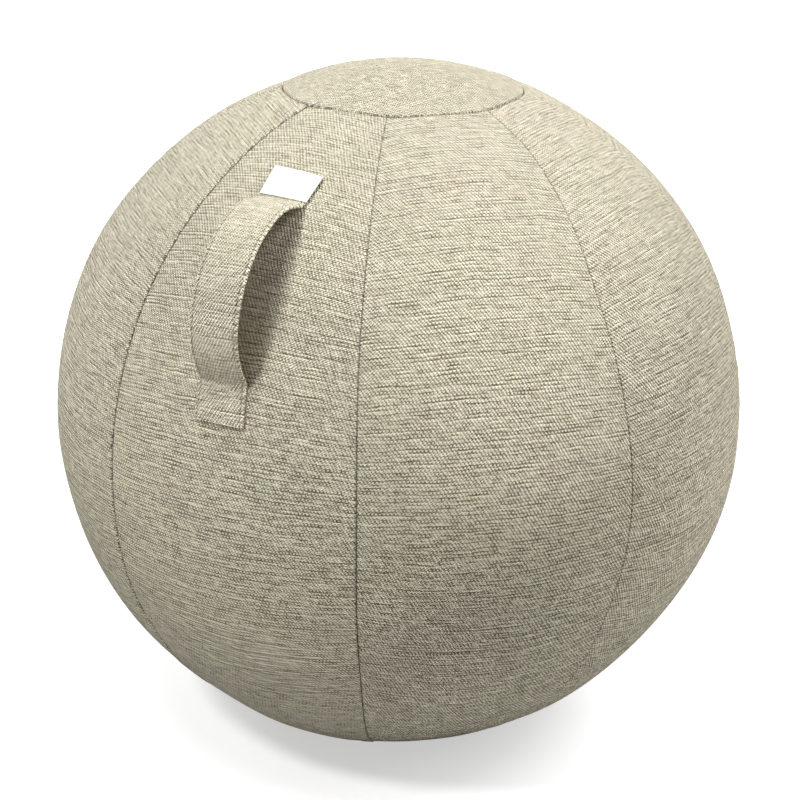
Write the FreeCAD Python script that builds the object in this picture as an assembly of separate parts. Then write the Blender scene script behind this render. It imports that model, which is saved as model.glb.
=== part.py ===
"""Covered balance ball seat: an inflated ball in a sewn fabric cover with a carry handle.

Millimetres, +Z up. The origin is the centre of the flat foot, on the floor. The handle is centred on
the -Y side. Longitudes run from -Y towards +X, latitudes from the ball's equator upwards.
"""

import FreeCAD
import Part

import math
import os

# Driving dimensions
BALL_RADIUS = 325.0
FOOT_POLAR = 20.0
CAP_POLAR = 19.9
PANEL_COUNT = 8
HANDLE_WIDTH = 47.0

# Cloth and seams
CLOTH = 1.2
SEAM_GAP_DEG = 0.12
ALLOWANCE_WIDTH = 9.0
ALLOWANCE_THICKNESS = 1.2
SEAM_OVERLAP = 0.4
ALLOWANCE_SETBACK = 0.5
ALLOWANCE_END_DEG = 0.4
PATH_CLEAR = 5.0
PANEL_FOOT_CLEARANCE = 0.5

# Inflated ball and its valve
BLADDER_RADIUS = BALL_RADIUS - 3.5
BLADDER_WALL = 1.2
BLADDER_FLOOR = 1.8
VALVE_LATITUDE = -18.0
VALVE_BORE_RADIUS = 4.0
VALVE_HOLE_DEPTH = 8.0
VALVE_WELD_GAP = 0.4
VALVE_FLANGE_RADIUS = 13.0
VALVE_SOCKET_RADIUS = 7.5
VALVE_SOCKET_DEPTH = 1.6
VALVE_NECK_RADIUS = 7.0
VALVE_NECK_LENGTH = 9.0
VALVE_FLANGE_THICKNESS = 1.6
PLUG_HEAD_RADIUS = 7.0
PLUG_HEAD_THICKNESS = 1.4
PLUG_LENGTH = 13.0
PLUG_TIP_RADIUS = 3.0
PLUG_STEM_CLEARANCE = 0.05

# Stabilising ring inside the foot, and the cloth strip that holds it
RING_RADIUS = 8.0
SLEEVE_WALL = 1.0
SLEEVE_OUTER_LEAN = 25.0
SLEEVE_INNER_LEAN = -65.0
BASE_THICKNESS = 1.5
FIT_GAP = 0.2
RING_EASE = 0.05

# Handle: an arched strap in the plane x = 0
HANDLE_LATITUDE = 35.1
STRAP_THICKNESS = 3.0
ARCH_TOP = BALL_RADIUS + 42.2
CROWN_RADIUS = 80.0
CROWN_DEG = 36.0
SHOULDER_RADIUS = 100.0
FLANK_DEG = 50.0
ROOT_RADIUS = 8.0
TAB_LENGTH = 35.0
LABEL_LENGTH = 30.5
LABEL_THICKNESS = 0.5
LABEL_SETBACK_DEG = 0.1
TAB_GAP = 0.1
STRAP_EDGE_RADIUS = 1.2
GRIP_HALF_SPAN = 60.0
GRIP_GAP = 0.3

# Zip along the rear seam
ZIP_SEAM = 4
ZIP_LOW_LATITUDE = -52.0
ZIP_HIGH_LATITUDE = 48.0
ZIP_GAP_HALF = 7.0
TAPE_HALF = 15.0
TAPE_TAIL_DEG = 3.0
SLOT_TAIL_DEG = 1.0
TAPE_THICKNESS = 0.6
TAPE_INNER = BALL_RADIUS - 1.9
CHAIN_SLOT_HALF = 0.5
CHAIN_HALF = 3.2
CHAIN_HEIGHT = 2.4
STOP_DEG = 0.7
STOP_GAP_DEG = 0.1
STOP_HEIGHT = 1.6
SLIDER_LENGTH = 15.0
SLIDER_FRONT_HALF = 5.2
SLIDER_BACK_HALF = 4.4
SLIDER_CLEARANCE = 0.4
SLIDER_PLATE = 1.2
SLIDER_FLANGE = 1.1
SLIDER_LOWER_PLATE = 0.8
SLIDER_LOWER_HALF = 4.2
SLIDER_LOWER_TAPER = 0.6
SLIDER_LOWER_SETBACK = 1.0
SLIDER_CHANNEL_EASE = 0.25
WEB_HALF = 0.2
WEB_LENGTH = 5.0
WEB_SETBACK = 1.0
BRIDGE_LENGTH = 9.0
BRIDGE_HALF = 1.1
BRIDGE_HEIGHT = 3.6
BRIDGE_WALL = 1.2
BRIDGE_SINK = 0.2
PULL_PIN_RADIUS = 0.65
PULL_HALF = 3.6
PULL_LENGTH = 28.0
PULL_THICKNESS = 1.4
PULL_WINDOW_HALF = 2.0
PULL_WINDOW_LENGTH = 5.4
PULL_HOLE_RADIUS = 1.8
PULL_HOLE_FROM_END = 5.7
PULL_CORNER_RADIUS = 2.5

VALVE_SEAT_RADIUS = VALVE_NECK_RADIUS + 1.5
VALVE_SAG = BLADDER_RADIUS - math.sqrt(BLADDER_RADIUS**2 - VALVE_SEAT_RADIUS**2)
CENTRE_Z = BALL_RADIUS * math.cos(math.radians(FOOT_POLAR))
CENTRE = FreeCAD.Vector(0, 0, CENTRE_Z)
CLOTH_INNER = BALL_RADIUS - CLOTH
PANEL_STEP = 360.0 / PANEL_COUNT
ZIP_LONGITUDE = PANEL_STEP * (ZIP_SEAM + 0.5)
RING_CENTRE_Z = BASE_THICKNESS + FIT_GAP / 2 + RING_RADIUS
LINING_RADIUS = CLOTH_INNER - ALLOWANCE_THICKNESS
RING_MEAN_RADIUS = math.sqrt(
    (LINING_RADIUS - FIT_GAP - RING_RADIUS) ** 2 - (CENTRE_Z - RING_CENTRE_Z) ** 2
)
Z_AXIS = FreeCAD.Vector(0, 0, 1)


def degrees_of(arc_length, radius=BALL_RADIUS):
    """The angle that an arc of that length spans."""
    return math.degrees(arc_length / radius)


def profile_point(radius, polar):
    """A point of the ball's section in the plane y = 0, at a polar angle from the top."""
    angle = math.radians(polar)
    return FreeCAD.Vector(radius * math.sin(angle), 0, CENTRE_Z + radius * math.cos(angle))


def arc_through(start, middle, end):
    return Part.Arc(start, middle, end).toShape()


def polyface(*edges):
    return Part.Face(Part.Wire(list(edges)))


def polar_arc(radius, start, end):
    """An arc of the ball's section between two polar angles."""
    return arc_through(
        profile_point(radius, start),
        profile_point(radius, (start + end) / 2),
        profile_point(radius, end),
    )


def shell_section(inner, outer, start, end):
    """The section of a spherical shell between two polar angles."""
    return polyface(
        polar_arc(outer, start, end),
        Part.makeLine(profile_point(outer, end), profile_point(inner, end)),
        polar_arc(inner, end, start),
        Part.makeLine(profile_point(inner, start), profile_point(outer, start)),
    )


def spin(section, sweep=360.0):
    """A section turned about the ball's vertical axis."""
    return section.revolve(FreeCAD.Vector(0, 0, 0), Z_AXIS, sweep)


def ball_frame(longitude, latitude):
    """Across, up-the-meridian and outward directions at a place on the ball."""
    lon, lat = math.radians(longitude), math.radians(latitude)
    across = FreeCAD.Vector(math.cos(lon), math.sin(lon), 0)
    out = FreeCAD.Vector(
        math.sin(lon) * math.cos(lat), -math.cos(lon) * math.cos(lat), math.sin(lat)
    )
    up = out.cross(across)
    return across, up, out


def ball_placement(longitude, latitude, radius=0.0):
    """Moves a shape made with x across, y up the meridian and z outward to its place on the ball."""
    across, up, out = ball_frame(longitude, latitude)
    at = CENTRE + out * radius
    return FreeCAD.Placement(
        FreeCAD.Matrix(
            across.x, up.x, out.x, at.x,
            across.y, up.y, out.y, at.y,
            across.z, up.z, out.z, at.z,
            0, 0, 0, 1,
        )
    )


def meridian_strip(longitude, low, high, left, right, inner, outer):
    """A strip of a spherical shell that keeps its width along a meridian.

    It runs from latitude low to high, and lies between two planes at left and right of the meridian.
    """
    across, up, out = ball_frame(longitude, low)

    def at(offset, radius):
        return CENTRE + across * offset + out * math.sqrt(radius**2 - offset**2)

    middle = (left + right) / 2
    section = polyface(
        Part.makeLine(at(left, inner), at(left, outer)),
        arc_through(at(left, outer), at(middle, outer), at(right, outer)),
        Part.makeLine(at(right, outer), at(right, inner)),
        arc_through(at(right, inner), at(middle, inner), at(left, inner)),
    )
    return section.revolve(CENTRE, across * -1, high - low)


def turned(shape, longitude):
    """The shape turned about the ball's axis to a longitude."""
    result = shape.copy()
    result.rotate(FreeCAD.Vector(0, 0, 0), Z_AXIS, longitude)
    return result


def ring_cover_corners(reach, shell, floor):
    """Three corners of a straight-sided tent over the ring, whose sides pass reach from its centre.

    The tent runs from the spherical shell down to the floor's height.
    """
    ring = FreeCAD.Vector(RING_MEAN_RADIUS, 0, RING_CENTRE_Z)
    outer, inner = math.radians(SLEEVE_OUTER_LEAN), math.radians(SLEEVE_INNER_LEAN)
    middle = (outer + inner) / 2
    ridge_reach = reach / math.cos((outer - inner) / 2)
    ridge = ring + FreeCAD.Vector(math.sin(middle), 0, math.cos(middle)) * ridge_reach
    down_out = FreeCAD.Vector(math.cos(outer), 0, -math.sin(outer))
    down_in = FreeCAD.Vector(-math.cos(inner), 0, math.sin(inner))
    from_centre = ridge - CENTRE
    b = from_centre.dot(down_out)
    run = -b + math.sqrt(b * b - from_centre.dot(from_centre) + shell**2)
    eave = ridge + down_out * run
    toe = ridge + down_in * ((ridge.z - floor) / -down_in.z)
    return eave, ridge, toe


def bladder_section(inset):
    """Half the section of the inflated ball, flat on the base and pressed down over the ring."""
    sphere = BLADDER_RADIUS - inset
    reach = RING_RADIUS + SLEEVE_WALL + FIT_GAP + inset
    floor = BLADDER_FLOOR + inset
    eave, ridge, toe = ring_cover_corners(reach, sphere, floor)
    top = FreeCAD.Vector(0, 0, CENTRE_Z + sphere)
    bottom = FreeCAD.Vector(0, 0, floor)
    return polyface(
        arc_through(top, profile_point(sphere, 80), eave),
        Part.makeLine(eave, ridge),
        Part.makeLine(ridge, toe),
        Part.makeLine(toe, bottom),
        Part.makeLine(bottom, top),
    )


def valve_profile(points):
    """A turned solid about the local z axis from (radius, height) points."""
    corners = [FreeCAD.Vector(r, 0, z) for r, z in points]
    corners.append(corners[0])
    return Part.Face(Part.makePolygon(corners)).revolve(FreeCAD.Vector(0, 0, 0), Z_AXIS, 360)


def inner_ball():
    """The hollow bladder, with the hole that the valve is welded into."""
    wall = spin(bladder_section(0)).cut(spin(bladder_section(BLADDER_WALL)))
    hole = Part.makeCylinder(VALVE_SEAT_RADIUS, 2 * VALVE_HOLE_DEPTH)
    hole.Placement = ball_placement(ZIP_LONGITUDE, VALVE_LATITUDE, BLADDER_RADIUS - VALVE_HOLE_DEPTH)
    return wall.cut(hole)


def valve_boss():
    """The valve seat: a flush collar with a socket for the plug's head and a neck inside the ball."""
    flange_top = -BLADDER_WALL - VALVE_WELD_GAP
    profile = [
        (VALVE_BORE_RADIUS, -VALVE_SOCKET_DEPTH - VALVE_SAG),
        (VALVE_SOCKET_RADIUS, -VALVE_SOCKET_DEPTH - VALVE_SAG),
        (VALVE_SOCKET_RADIUS, -VALVE_SAG),
        (VALVE_SEAT_RADIUS, -VALVE_SAG),
        (VALVE_SEAT_RADIUS, flange_top),
        (VALVE_FLANGE_RADIUS, flange_top),
        (VALVE_FLANGE_RADIUS, flange_top - VALVE_FLANGE_THICKNESS),
        (VALVE_NECK_RADIUS, flange_top - VALVE_FLANGE_THICKNESS),
        (VALVE_NECK_RADIUS, -VALVE_NECK_LENGTH),
        (VALVE_BORE_RADIUS, -VALVE_NECK_LENGTH),
    ]
    boss = valve_profile(profile)
    boss.Placement = ball_placement(ZIP_LONGITUDE, VALVE_LATITUDE, BLADDER_RADIUS)
    return boss


def valve_plug():
    """The tapered stopper, pushed in until its head is flush."""
    head_low = -VALVE_SOCKET_DEPTH
    stem = VALVE_BORE_RADIUS - PLUG_STEM_CLEARANCE
    profile = [
        (0, head_low + PLUG_HEAD_THICKNESS),
        (PLUG_HEAD_RADIUS, head_low + PLUG_HEAD_THICKNESS),
        (PLUG_HEAD_RADIUS, head_low),
        (stem, head_low),
        (stem, -VALVE_NECK_LENGTH),
        (PLUG_TIP_RADIUS, -PLUG_LENGTH),
        (0, -PLUG_LENGTH),
    ]
    plug = valve_profile(profile)
    plug.Placement = ball_placement(ZIP_LONGITUDE, VALVE_LATITUDE, BLADDER_RADIUS - VALVE_SAG)
    return plug


def cover_panel(index):
    """One gore of the cover, with the seam allowance folded under its right-hand edge.

    The two gores beside the zip are set back from its chain instead.
    """
    low_polar = 180 - FOOT_POLAR - degrees_of(PANEL_FOOT_CLEARANCE / math.sin(math.radians(FOOT_POLAR)))
    section = shell_section(CLOTH_INNER, BALL_RADIUS, CAP_POLAR + SEAM_GAP_DEG, low_polar)
    gore = turned(spin(section, PANEL_STEP - SEAM_GAP_DEG), -90 - (PANEL_STEP - SEAM_GAP_DEG) / 2)
    gore = turned(gore, PANEL_STEP * index)
    if index in (ZIP_SEAM, ZIP_SEAM + 1):
        slot = meridian_strip(
            ZIP_LONGITUDE, ZIP_LOW_LATITUDE - SLOT_TAIL_DEG, ZIP_HIGH_LATITUDE + SLOT_TAIL_DEG,
            -ZIP_GAP_HALF, ZIP_GAP_HALF, CLOTH_INNER - PATH_CLEAR, BALL_RADIUS + PATH_CLEAR,
        )
        gore = gore.cut(slot)
    if index == ZIP_SEAM:
        return gore
    seam = PANEL_STEP * (index + 0.5)
    lip = degrees_of(ALLOWANCE_WIDTH) + ALLOWANCE_END_DEG
    allowance = meridian_strip(
        seam, 90 - low_polar + lip, 90 - CAP_POLAR - lip,
        -ALLOWANCE_WIDTH, -ALLOWANCE_SETBACK, LINING_RADIUS, CLOTH_INNER + SEAM_OVERLAP,
    )
    return gore.fuse(allowance)


def top_cap():
    """The round top piece, whose allowance lies under the ends of the gores."""
    lip = degrees_of(ALLOWANCE_WIDTH)
    outer = BALL_RADIUS
    rim, edge, back = CAP_POLAR, CAP_POLAR + lip, CAP_POLAR - lip
    section = polyface(
        polar_arc(outer, 0, rim),
        Part.makeLine(profile_point(outer, rim), profile_point(CLOTH_INNER - FIT_GAP / 2, rim)),
        polar_arc(CLOTH_INNER - FIT_GAP / 2, rim, edge),
        Part.makeLine(
            profile_point(CLOTH_INNER - FIT_GAP / 2, edge), profile_point(LINING_RADIUS, edge)
        ),
        polar_arc(LINING_RADIUS, edge, back),
        Part.makeLine(profile_point(LINING_RADIUS, back), profile_point(CLOTH_INNER, back)),
        polar_arc(CLOTH_INNER, back, 0),
        Part.makeLine(profile_point(CLOTH_INNER, 0), profile_point(outer, 0)),
    )
    return spin(section)


def base_panel():
    """The flat wear-resistant foot, with its allowance turned up inside the gores."""
    lip_polar = 180 - FOOT_POLAR - degrees_of(ALLOWANCE_WIDTH)
    lip_outer = CLOTH_INNER - FIT_GAP / 2
    corner = math.degrees(math.acos(-CENTRE_Z / lip_outer))
    corner_point = profile_point(lip_outer, corner)
    inner_corner = math.degrees(math.acos((BASE_THICKNESS - CENTRE_Z) / LINING_RADIUS))
    section = polyface(
        Part.makeLine(FreeCAD.Vector(0, 0, 0), corner_point),
        polar_arc(lip_outer, corner, lip_polar),
        Part.makeLine(profile_point(lip_outer, lip_polar), profile_point(LINING_RADIUS, lip_polar)),
        polar_arc(LINING_RADIUS, lip_polar, inner_corner),
        Part.makeLine(
            profile_point(LINING_RADIUS, inner_corner), FreeCAD.Vector(0, 0, BASE_THICKNESS)
        ),
        Part.makeLine(FreeCAD.Vector(0, 0, BASE_THICKNESS), FreeCAD.Vector(0, 0, 0)),
    )
    return spin(section)


def base_ring():
    """The round hose that keeps the foot open and stops the ball rolling."""
    ring = Part.makeTorus(RING_MEAN_RADIUS, RING_RADIUS - RING_EASE)
    ring.translate(FreeCAD.Vector(0, 0, RING_CENTRE_Z))
    return ring


def ring_sleeve():
    """The cloth strip sewn down on both sides of the ring, which holds it in the corner of the foot."""
    lining = LINING_RADIUS - FIT_GAP / 2
    floor = BASE_THICKNESS + FIT_GAP / 2
    over = ring_cover_corners(RING_RADIUS + FIT_GAP / 2 + SLEEVE_WALL, lining, floor)
    under = ring_cover_corners(RING_RADIUS + FIT_GAP / 2, lining, floor)
    corners = [over[0], over[1], over[2], under[2], under[1], under[0], over[0]]
    return spin(Part.Face(Part.makePolygon(corners)))


def strap_path(lift):
    """Half the handle's line in its own plane, from the crown down to the ball.

    Points are (along the chord, out from the ball's centre), lift above the strap's underside.
    """
    crown, shoulder = CROWN_RADIUS + lift, SHOULDER_RADIUS + lift
    root = ROOT_RADIUS - lift
    turn, flank = math.radians(CROWN_DEG), math.radians(FLANK_DEG)
    crown_centre = (0.0, ARCH_TOP - CROWN_RADIUS)
    shift = CROWN_RADIUS - SHOULDER_RADIUS
    shoulder_centre = (shift * math.sin(turn), crown_centre[1] + shift * math.cos(turn))

    def on_arc(centre, radius, angle):
        return (centre[0] + radius * math.sin(angle), centre[1] + radius * math.cos(angle))

    flank_start = on_arc(shoulder_centre, shoulder, flank)
    tangent = (math.cos(flank), -math.sin(flank))
    normal = (math.sin(flank), math.cos(flank))
    seat = BALL_RADIUS + TAB_GAP + lift
    # The root arc's centre is at the same distance outside the flank's line and the tab's surface.
    offset = (flank_start[0] + root * normal[0], flank_start[1] + root * normal[1])
    reach = seat + root
    b = offset[0] * tangent[0] + offset[1] * tangent[1]
    c = offset[0] ** 2 + offset[1] ** 2 - reach**2
    step = -b - math.sqrt(b * b - c)
    centre = (offset[0] + step * tangent[0], offset[1] + step * tangent[1])
    flank_end = (centre[0] - root * normal[0], centre[1] - root * normal[1])
    distance = math.hypot(*centre)
    landing = (centre[0] * seat / distance, centre[1] * seat / distance)
    bend = (
        flank_end[0] + landing[0] - 2 * centre[0],
        flank_end[1] + landing[1] - 2 * centre[1],
    )
    size = math.hypot(*bend)
    return {
        "crown": (0.0, ARCH_TOP + lift),
        "crown_mid": on_arc(crown_centre, crown, turn / 2),
        "crown_end": on_arc(crown_centre, crown, turn),
        "shoulder_mid": on_arc(shoulder_centre, shoulder, (turn + flank) / 2),
        "flank_start": flank_start,
        "flank_end": flank_end,
        "bend_mid": (centre[0] + root * bend[0] / size, centre[1] + root * bend[1] / size),
        "landing": landing,
    }


def handle_plane_point(place, side):
    """A point of the handle's own plane, given as (along, out), on the upper or lower side."""
    _, up, out = ball_frame(0, HANDLE_LATITUDE)
    return CENTRE + up * (place[0] * side) + out * place[1]


def landing_latitude(side):
    """Where the strap meets the ball, as a latitude."""
    along, out = strap_path(0)["landing"]
    return HANDLE_LATITUDE + side * math.degrees(math.atan2(along, out))


def half_strap(side):
    """Half the arched strap, from the crown to the place where it meets the ball."""
    inner, outer = strap_path(0), strap_path(STRAP_THICKNESS)

    def at(path, name):
        return handle_plane_point(path[name], side)

    section = polyface(
        arc_through(at(outer, "crown"), at(outer, "crown_mid"), at(outer, "crown_end")),
        arc_through(at(outer, "crown_end"), at(outer, "shoulder_mid"), at(outer, "flank_start")),
        Part.makeLine(at(outer, "flank_start"), at(outer, "flank_end")),
        arc_through(at(outer, "flank_end"), at(outer, "bend_mid"), at(outer, "landing")),
        Part.makeLine(at(outer, "landing"), at(inner, "landing")),
        arc_through(at(inner, "landing"), at(inner, "bend_mid"), at(inner, "flank_end")),
        Part.makeLine(at(inner, "flank_end"), at(inner, "flank_start")),
        arc_through(at(inner, "flank_start"), at(inner, "shoulder_mid"), at(inner, "crown_end")),
        arc_through(at(inner, "crown_end"), at(inner, "crown_mid"), at(inner, "crown")),
        Part.makeLine(at(inner, "crown"), at(outer, "crown")),
    )
    section.translate(FreeCAD.Vector(-HANDLE_WIDTH / 2, 0, 0))
    return section.extrude(FreeCAD.Vector(HANDLE_WIDTH, 0, 0))


def whole_strap():
    """The free strap between its sewn ends, its long edges rounded where the cloth folds over."""
    strap = half_strap(1).fuse(half_strap(-1)).removeSplitter()
    side = HANDLE_WIDTH / 2
    folds = [
        edge
        for edge in strap.Edges
        if abs(abs(edge.BoundBox.Center.x) - side) < 1e-6 and edge.Length > 2 * STRAP_THICKNESS
    ]
    return strap.makeFillet(STRAP_EDGE_RADIUS, folds)


def chord_box(start, end):
    """A block across the handle between two planes square to its chord."""
    depth = 2 * BALL_RADIUS
    block = Part.makeBox(
        2 * HANDLE_WIDTH, end - start, depth, FreeCAD.Vector(-HANDLE_WIDTH, start, 0)
    )
    block.Placement = ball_placement(0, HANDLE_LATITUDE)
    return block


def handle_grip():
    """The free middle of the strap, which swings about the line between its sewn ends."""
    return whole_strap().common(chord_box(-GRIP_HALF_SPAN, GRIP_HALF_SPAN))


def handle_end(side, length):
    """A sewn-down end of the strap with the first stretch that lifts off the ball."""
    root = landing_latitude(side)
    span = degrees_of(length)
    low, high = (root, root + span) if side > 0 else (root - span, root)
    inner = BALL_RADIUS + TAB_GAP
    tab = meridian_strip(
        0, low, high, -HANDLE_WIDTH / 2, HANDLE_WIDTH / 2, inner, inner + STRAP_THICKNESS
    )
    far = 2 * GRIP_HALF_SPAN
    start = GRIP_HALF_SPAN + GRIP_GAP
    keep = chord_box(start, far) if side > 0 else chord_box(-far, -start)
    return tab.fuse(whole_strap().common(keep)).removeSplitter()


def handle_label():
    """The bare woven label on the strap's upper sewn end."""
    root = landing_latitude(1)
    inner = BALL_RADIUS + TAB_GAP + STRAP_THICKNESS
    half = HANDLE_WIDTH / 2
    return meridian_strip(
        0, root + LABEL_SETBACK_DEG, root + degrees_of(LABEL_LENGTH),
        -half, half, inner, inner + LABEL_THICKNESS,
    )


def zipper_tape(side):
    """One of the zip's woven tapes, sewn under the edge of a gore."""
    left, right = sorted((side * CHAIN_SLOT_HALF, side * TAPE_HALF))
    return meridian_strip(
        ZIP_LONGITUDE, ZIP_LOW_LATITUDE - TAPE_TAIL_DEG, ZIP_HIGH_LATITUDE + TAPE_TAIL_DEG,
        left, right, TAPE_INNER, TAPE_INNER + TAPE_THICKNESS,
    )


def zipper_chain(side):
    """One side of the zip's coil, as the bead that the coil fills."""
    left, right = sorted((side * CHAIN_SLOT_HALF, side * CHAIN_HALF))
    inner = TAPE_INNER + TAPE_THICKNESS
    return meridian_strip(
        ZIP_LONGITUDE, ZIP_LOW_LATITUDE, ZIP_HIGH_LATITUDE, left, right, inner, inner + CHAIN_HEIGHT
    )


def zipper_stop(low, left, right):
    """A stop clamped over the end of the chain."""
    inner = TAPE_INNER + TAPE_THICKNESS
    return meridian_strip(
        ZIP_LONGITUDE, low, low + STOP_DEG, left, right, inner, inner + STOP_HEIGHT
    )


def zipper_stop_lower():
    """The stop at the bottom, across both tapes."""
    low = ZIP_LOW_LATITUDE - STOP_GAP_DEG - STOP_DEG
    return zipper_stop(low, -CHAIN_HALF, CHAIN_HALF)


def zipper_stops_upper():
    """The pair of stops at the top, one on each tape."""
    gap = CHAIN_SLOT_HALF
    low = ZIP_HIGH_LATITUDE + STOP_GAP_DEG
    return Part.makeCompound(
        [zipper_stop(low, -CHAIN_HALF, -gap), zipper_stop(low, gap, CHAIN_HALF)]
    )


def slider_latitude():
    """Where the slider rests when the zip is shut, against the lower stop."""
    return ZIP_LOW_LATITUDE + degrees_of(SLIDER_LENGTH / 2 + SLIDER_CLEARANCE)


def wing(front_half, back_half, length, low, high):
    """A slider plate that narrows towards its closed end, between two heights."""
    half = length / 2
    corners = [
        FreeCAD.Vector(-front_half, -half, low),
        FreeCAD.Vector(front_half, -half, low),
        FreeCAD.Vector(back_half, half, low),
        FreeCAD.Vector(-back_half, half, low),
    ]
    corners.append(corners[0])
    return Part.Face(Part.makePolygon(corners)).extrude(FreeCAD.Vector(0, 0, high - low))


def slider_heights():
    """The slider's levels, as radii from the ball's centre."""
    tape_top = TAPE_INNER + TAPE_THICKNESS
    chain_top = tape_top + CHAIN_HEIGHT
    return {
        "lower_low": TAPE_INNER - SLIDER_CLEARANCE - SLIDER_LOWER_PLATE,
        "lower_high": TAPE_INNER - SLIDER_CLEARANCE,
        "flange_low": tape_top + SLIDER_CLEARANCE,
        "upper_low": chain_top + SLIDER_CLEARANCE,
        "upper_high": chain_top + SLIDER_CLEARANCE + SLIDER_PLATE,
    }


def pull_pin_height():
    """The height of the pull's pin, as a radius from the ball's centre."""
    return slider_heights()["upper_high"] + (BRIDGE_HEIGHT - BRIDGE_WALL) / 2


def zipper_slider():
    """The slider: upper and lower wings, side flanges, the web between them and the bridge."""
    level = slider_heights()
    top = wing(
        SLIDER_FRONT_HALF, SLIDER_BACK_HALF, SLIDER_LENGTH, level["flange_low"], level["upper_high"]
    )
    channel = wing(
        SLIDER_FRONT_HALF - SLIDER_FLANGE,
        SLIDER_BACK_HALF - SLIDER_FLANGE + SLIDER_CHANNEL_EASE,
        2 * SLIDER_LENGTH, level["flange_low"] - SLIDER_PLATE, level["upper_low"],
    )
    body = top.cut(channel)
    lower = wing(
        SLIDER_LOWER_HALF, SLIDER_LOWER_HALF - SLIDER_LOWER_TAPER,
        SLIDER_LENGTH - 2 * SLIDER_LOWER_SETBACK, level["lower_low"], level["lower_high"],
    )
    web = Part.makeBox(
        2 * WEB_HALF, WEB_LENGTH, level["upper_high"] - level["lower_low"],
        FreeCAD.Vector(-WEB_HALF, -SLIDER_LENGTH / 2 + WEB_SETBACK, level["lower_low"]),
    )
    bridge = Part.makeBox(
        2 * BRIDGE_HALF, BRIDGE_LENGTH, BRIDGE_HEIGHT + BRIDGE_SINK,
        FreeCAD.Vector(-BRIDGE_HALF, -BRIDGE_LENGTH / 2, level["upper_high"] - BRIDGE_SINK),
    )
    eye = Part.makeBox(
        4 * BRIDGE_HALF, BRIDGE_LENGTH - 2 * BRIDGE_WALL, BRIDGE_HEIGHT - BRIDGE_WALL,
        FreeCAD.Vector(-2 * BRIDGE_HALF, -BRIDGE_LENGTH / 2 + BRIDGE_WALL, level["upper_high"]),
    )
    slider = body.fuse([lower, web, bridge]).cut(eye)
    slider.Placement = ball_placement(ZIP_LONGITUDE, slider_latitude())
    return slider


def zipper_pull():
    """The pull: a flat tab with a windowed head, whose end bar is the pin through the bridge.

    It hangs plumb from the bridge.
    """
    half = PULL_THICKNESS / 2
    tab = Part.makeBox(
        2 * PULL_HALF, PULL_LENGTH, PULL_THICKNESS, FreeCAD.Vector(-PULL_HALF, -PULL_LENGTH, -half)
    )
    window = Part.makeBox(
        2 * PULL_WINDOW_HALF, PULL_WINDOW_LENGTH, 2 * PULL_THICKNESS,
        FreeCAD.Vector(-PULL_WINDOW_HALF, -PULL_WINDOW_LENGTH, -PULL_THICKNESS),
    )
    hole = Part.makeCylinder(
        PULL_HOLE_RADIUS, 4 * PULL_THICKNESS,
        FreeCAD.Vector(0, PULL_HOLE_FROM_END - PULL_LENGTH, -2 * PULL_THICKNESS),
    )
    pin = Part.makeCylinder(
        PULL_PIN_RADIUS, 2 * PULL_HALF, FreeCAD.Vector(-PULL_HALF, 0, 0), FreeCAD.Vector(1, 0, 0)
    )
    tab = tab.cut(window).cut(hole)
    corners = [
        edge
        for edge in tab.Edges
        if abs(edge.Length - PULL_THICKNESS) < 1e-6
        and abs(edge.BoundBox.YMin + PULL_LENGTH) < 1e-6
    ]
    pull = tab.makeFillet(PULL_CORNER_RADIUS, corners).fuse(pin)
    across, _, out = ball_frame(ZIP_LONGITUDE, slider_latitude())
    at = CENTRE + out * pull_pin_height()
    plumb = FreeCAD.Vector(0, 0, 1)
    facing = across.cross(plumb)
    pull.Placement = FreeCAD.Placement(
        FreeCAD.Matrix(
            across.x, plumb.x, facing.x, at.x,
            across.y, plumb.y, facing.y, at.y,
            across.z, plumb.z, facing.z, at.z,
            0, 0, 0, 1,
        )
    )
    return pull


def nodes():
    """Every separate piece, by name."""
    made = {
        "inner_ball": inner_ball(),
        "valve_boss": valve_boss(),
        "valve_plug": valve_plug(),
        "top_cap": top_cap(),
        "base_panel": base_panel(),
        "base_ring": base_ring(),
        "ring_sleeve": ring_sleeve(),
        "handle_grip": handle_grip(),
        "handle_end_upper": handle_end(1, LABEL_LENGTH),
        "handle_end_lower": handle_end(-1, TAB_LENGTH),
        "handle_label": handle_label(),
        "zipper_tape_left": zipper_tape(-1),
        "zipper_tape_right": zipper_tape(1),
        "zipper_chain_left": zipper_chain(-1),
        "zipper_chain_right": zipper_chain(1),
        "zipper_stop_lower": zipper_stop_lower(),
        "zipper_stops_upper": zipper_stops_upper(),
        "zipper_slider": zipper_slider(),
        "zipper_pull": zipper_pull(),
    }
    for index in range(PANEL_COUNT):
        made[f"cover_panel_{index + 1}"] = cover_panel(index)
    return made


def report_joints():
    """Prints what the joints and mounts need, in metres."""
    _, up, out = ball_frame(0, HANDLE_LATITUDE)
    along, reach = strap_path(0)["landing"]
    pivot = CENTRE + out * reach
    across, _, zip_out = ball_frame(ZIP_LONGITUDE, slider_latitude())
    pin = CENTRE + zip_out * pull_pin_height()
    print("handle landing along, out:", round(along, 2), round(reach, 2))
    print("handle pivot:", [round(v / 1000, 5) for v in pivot], "axis:", [round(v, 6) for v in up])
    print("ball centre z:", round(CENTRE_Z / 1000, 6))
    print("zip travel axis:", [round(-v, 6) for v in across])
    print("pull pin:", [round(v / 1000, 6) for v in pin], "axis:", [round(v, 6) for v in across])
    print("ring radius:", round(RING_MEAN_RADIUS, 2))


def main():
    os.makedirs("parts", exist_ok=True)
    for name, shape in nodes().items():
        shape.exportStep(f"parts/{name}.step")
        print(
            f"{name}: valid {shape.isValid()}, solids {len(shape.Solids)}, "
            f"faces {len(shape.Faces)}, volume {shape.Volume / 1000:.2f} cm3"
        )
    report_joints()


main()
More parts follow.
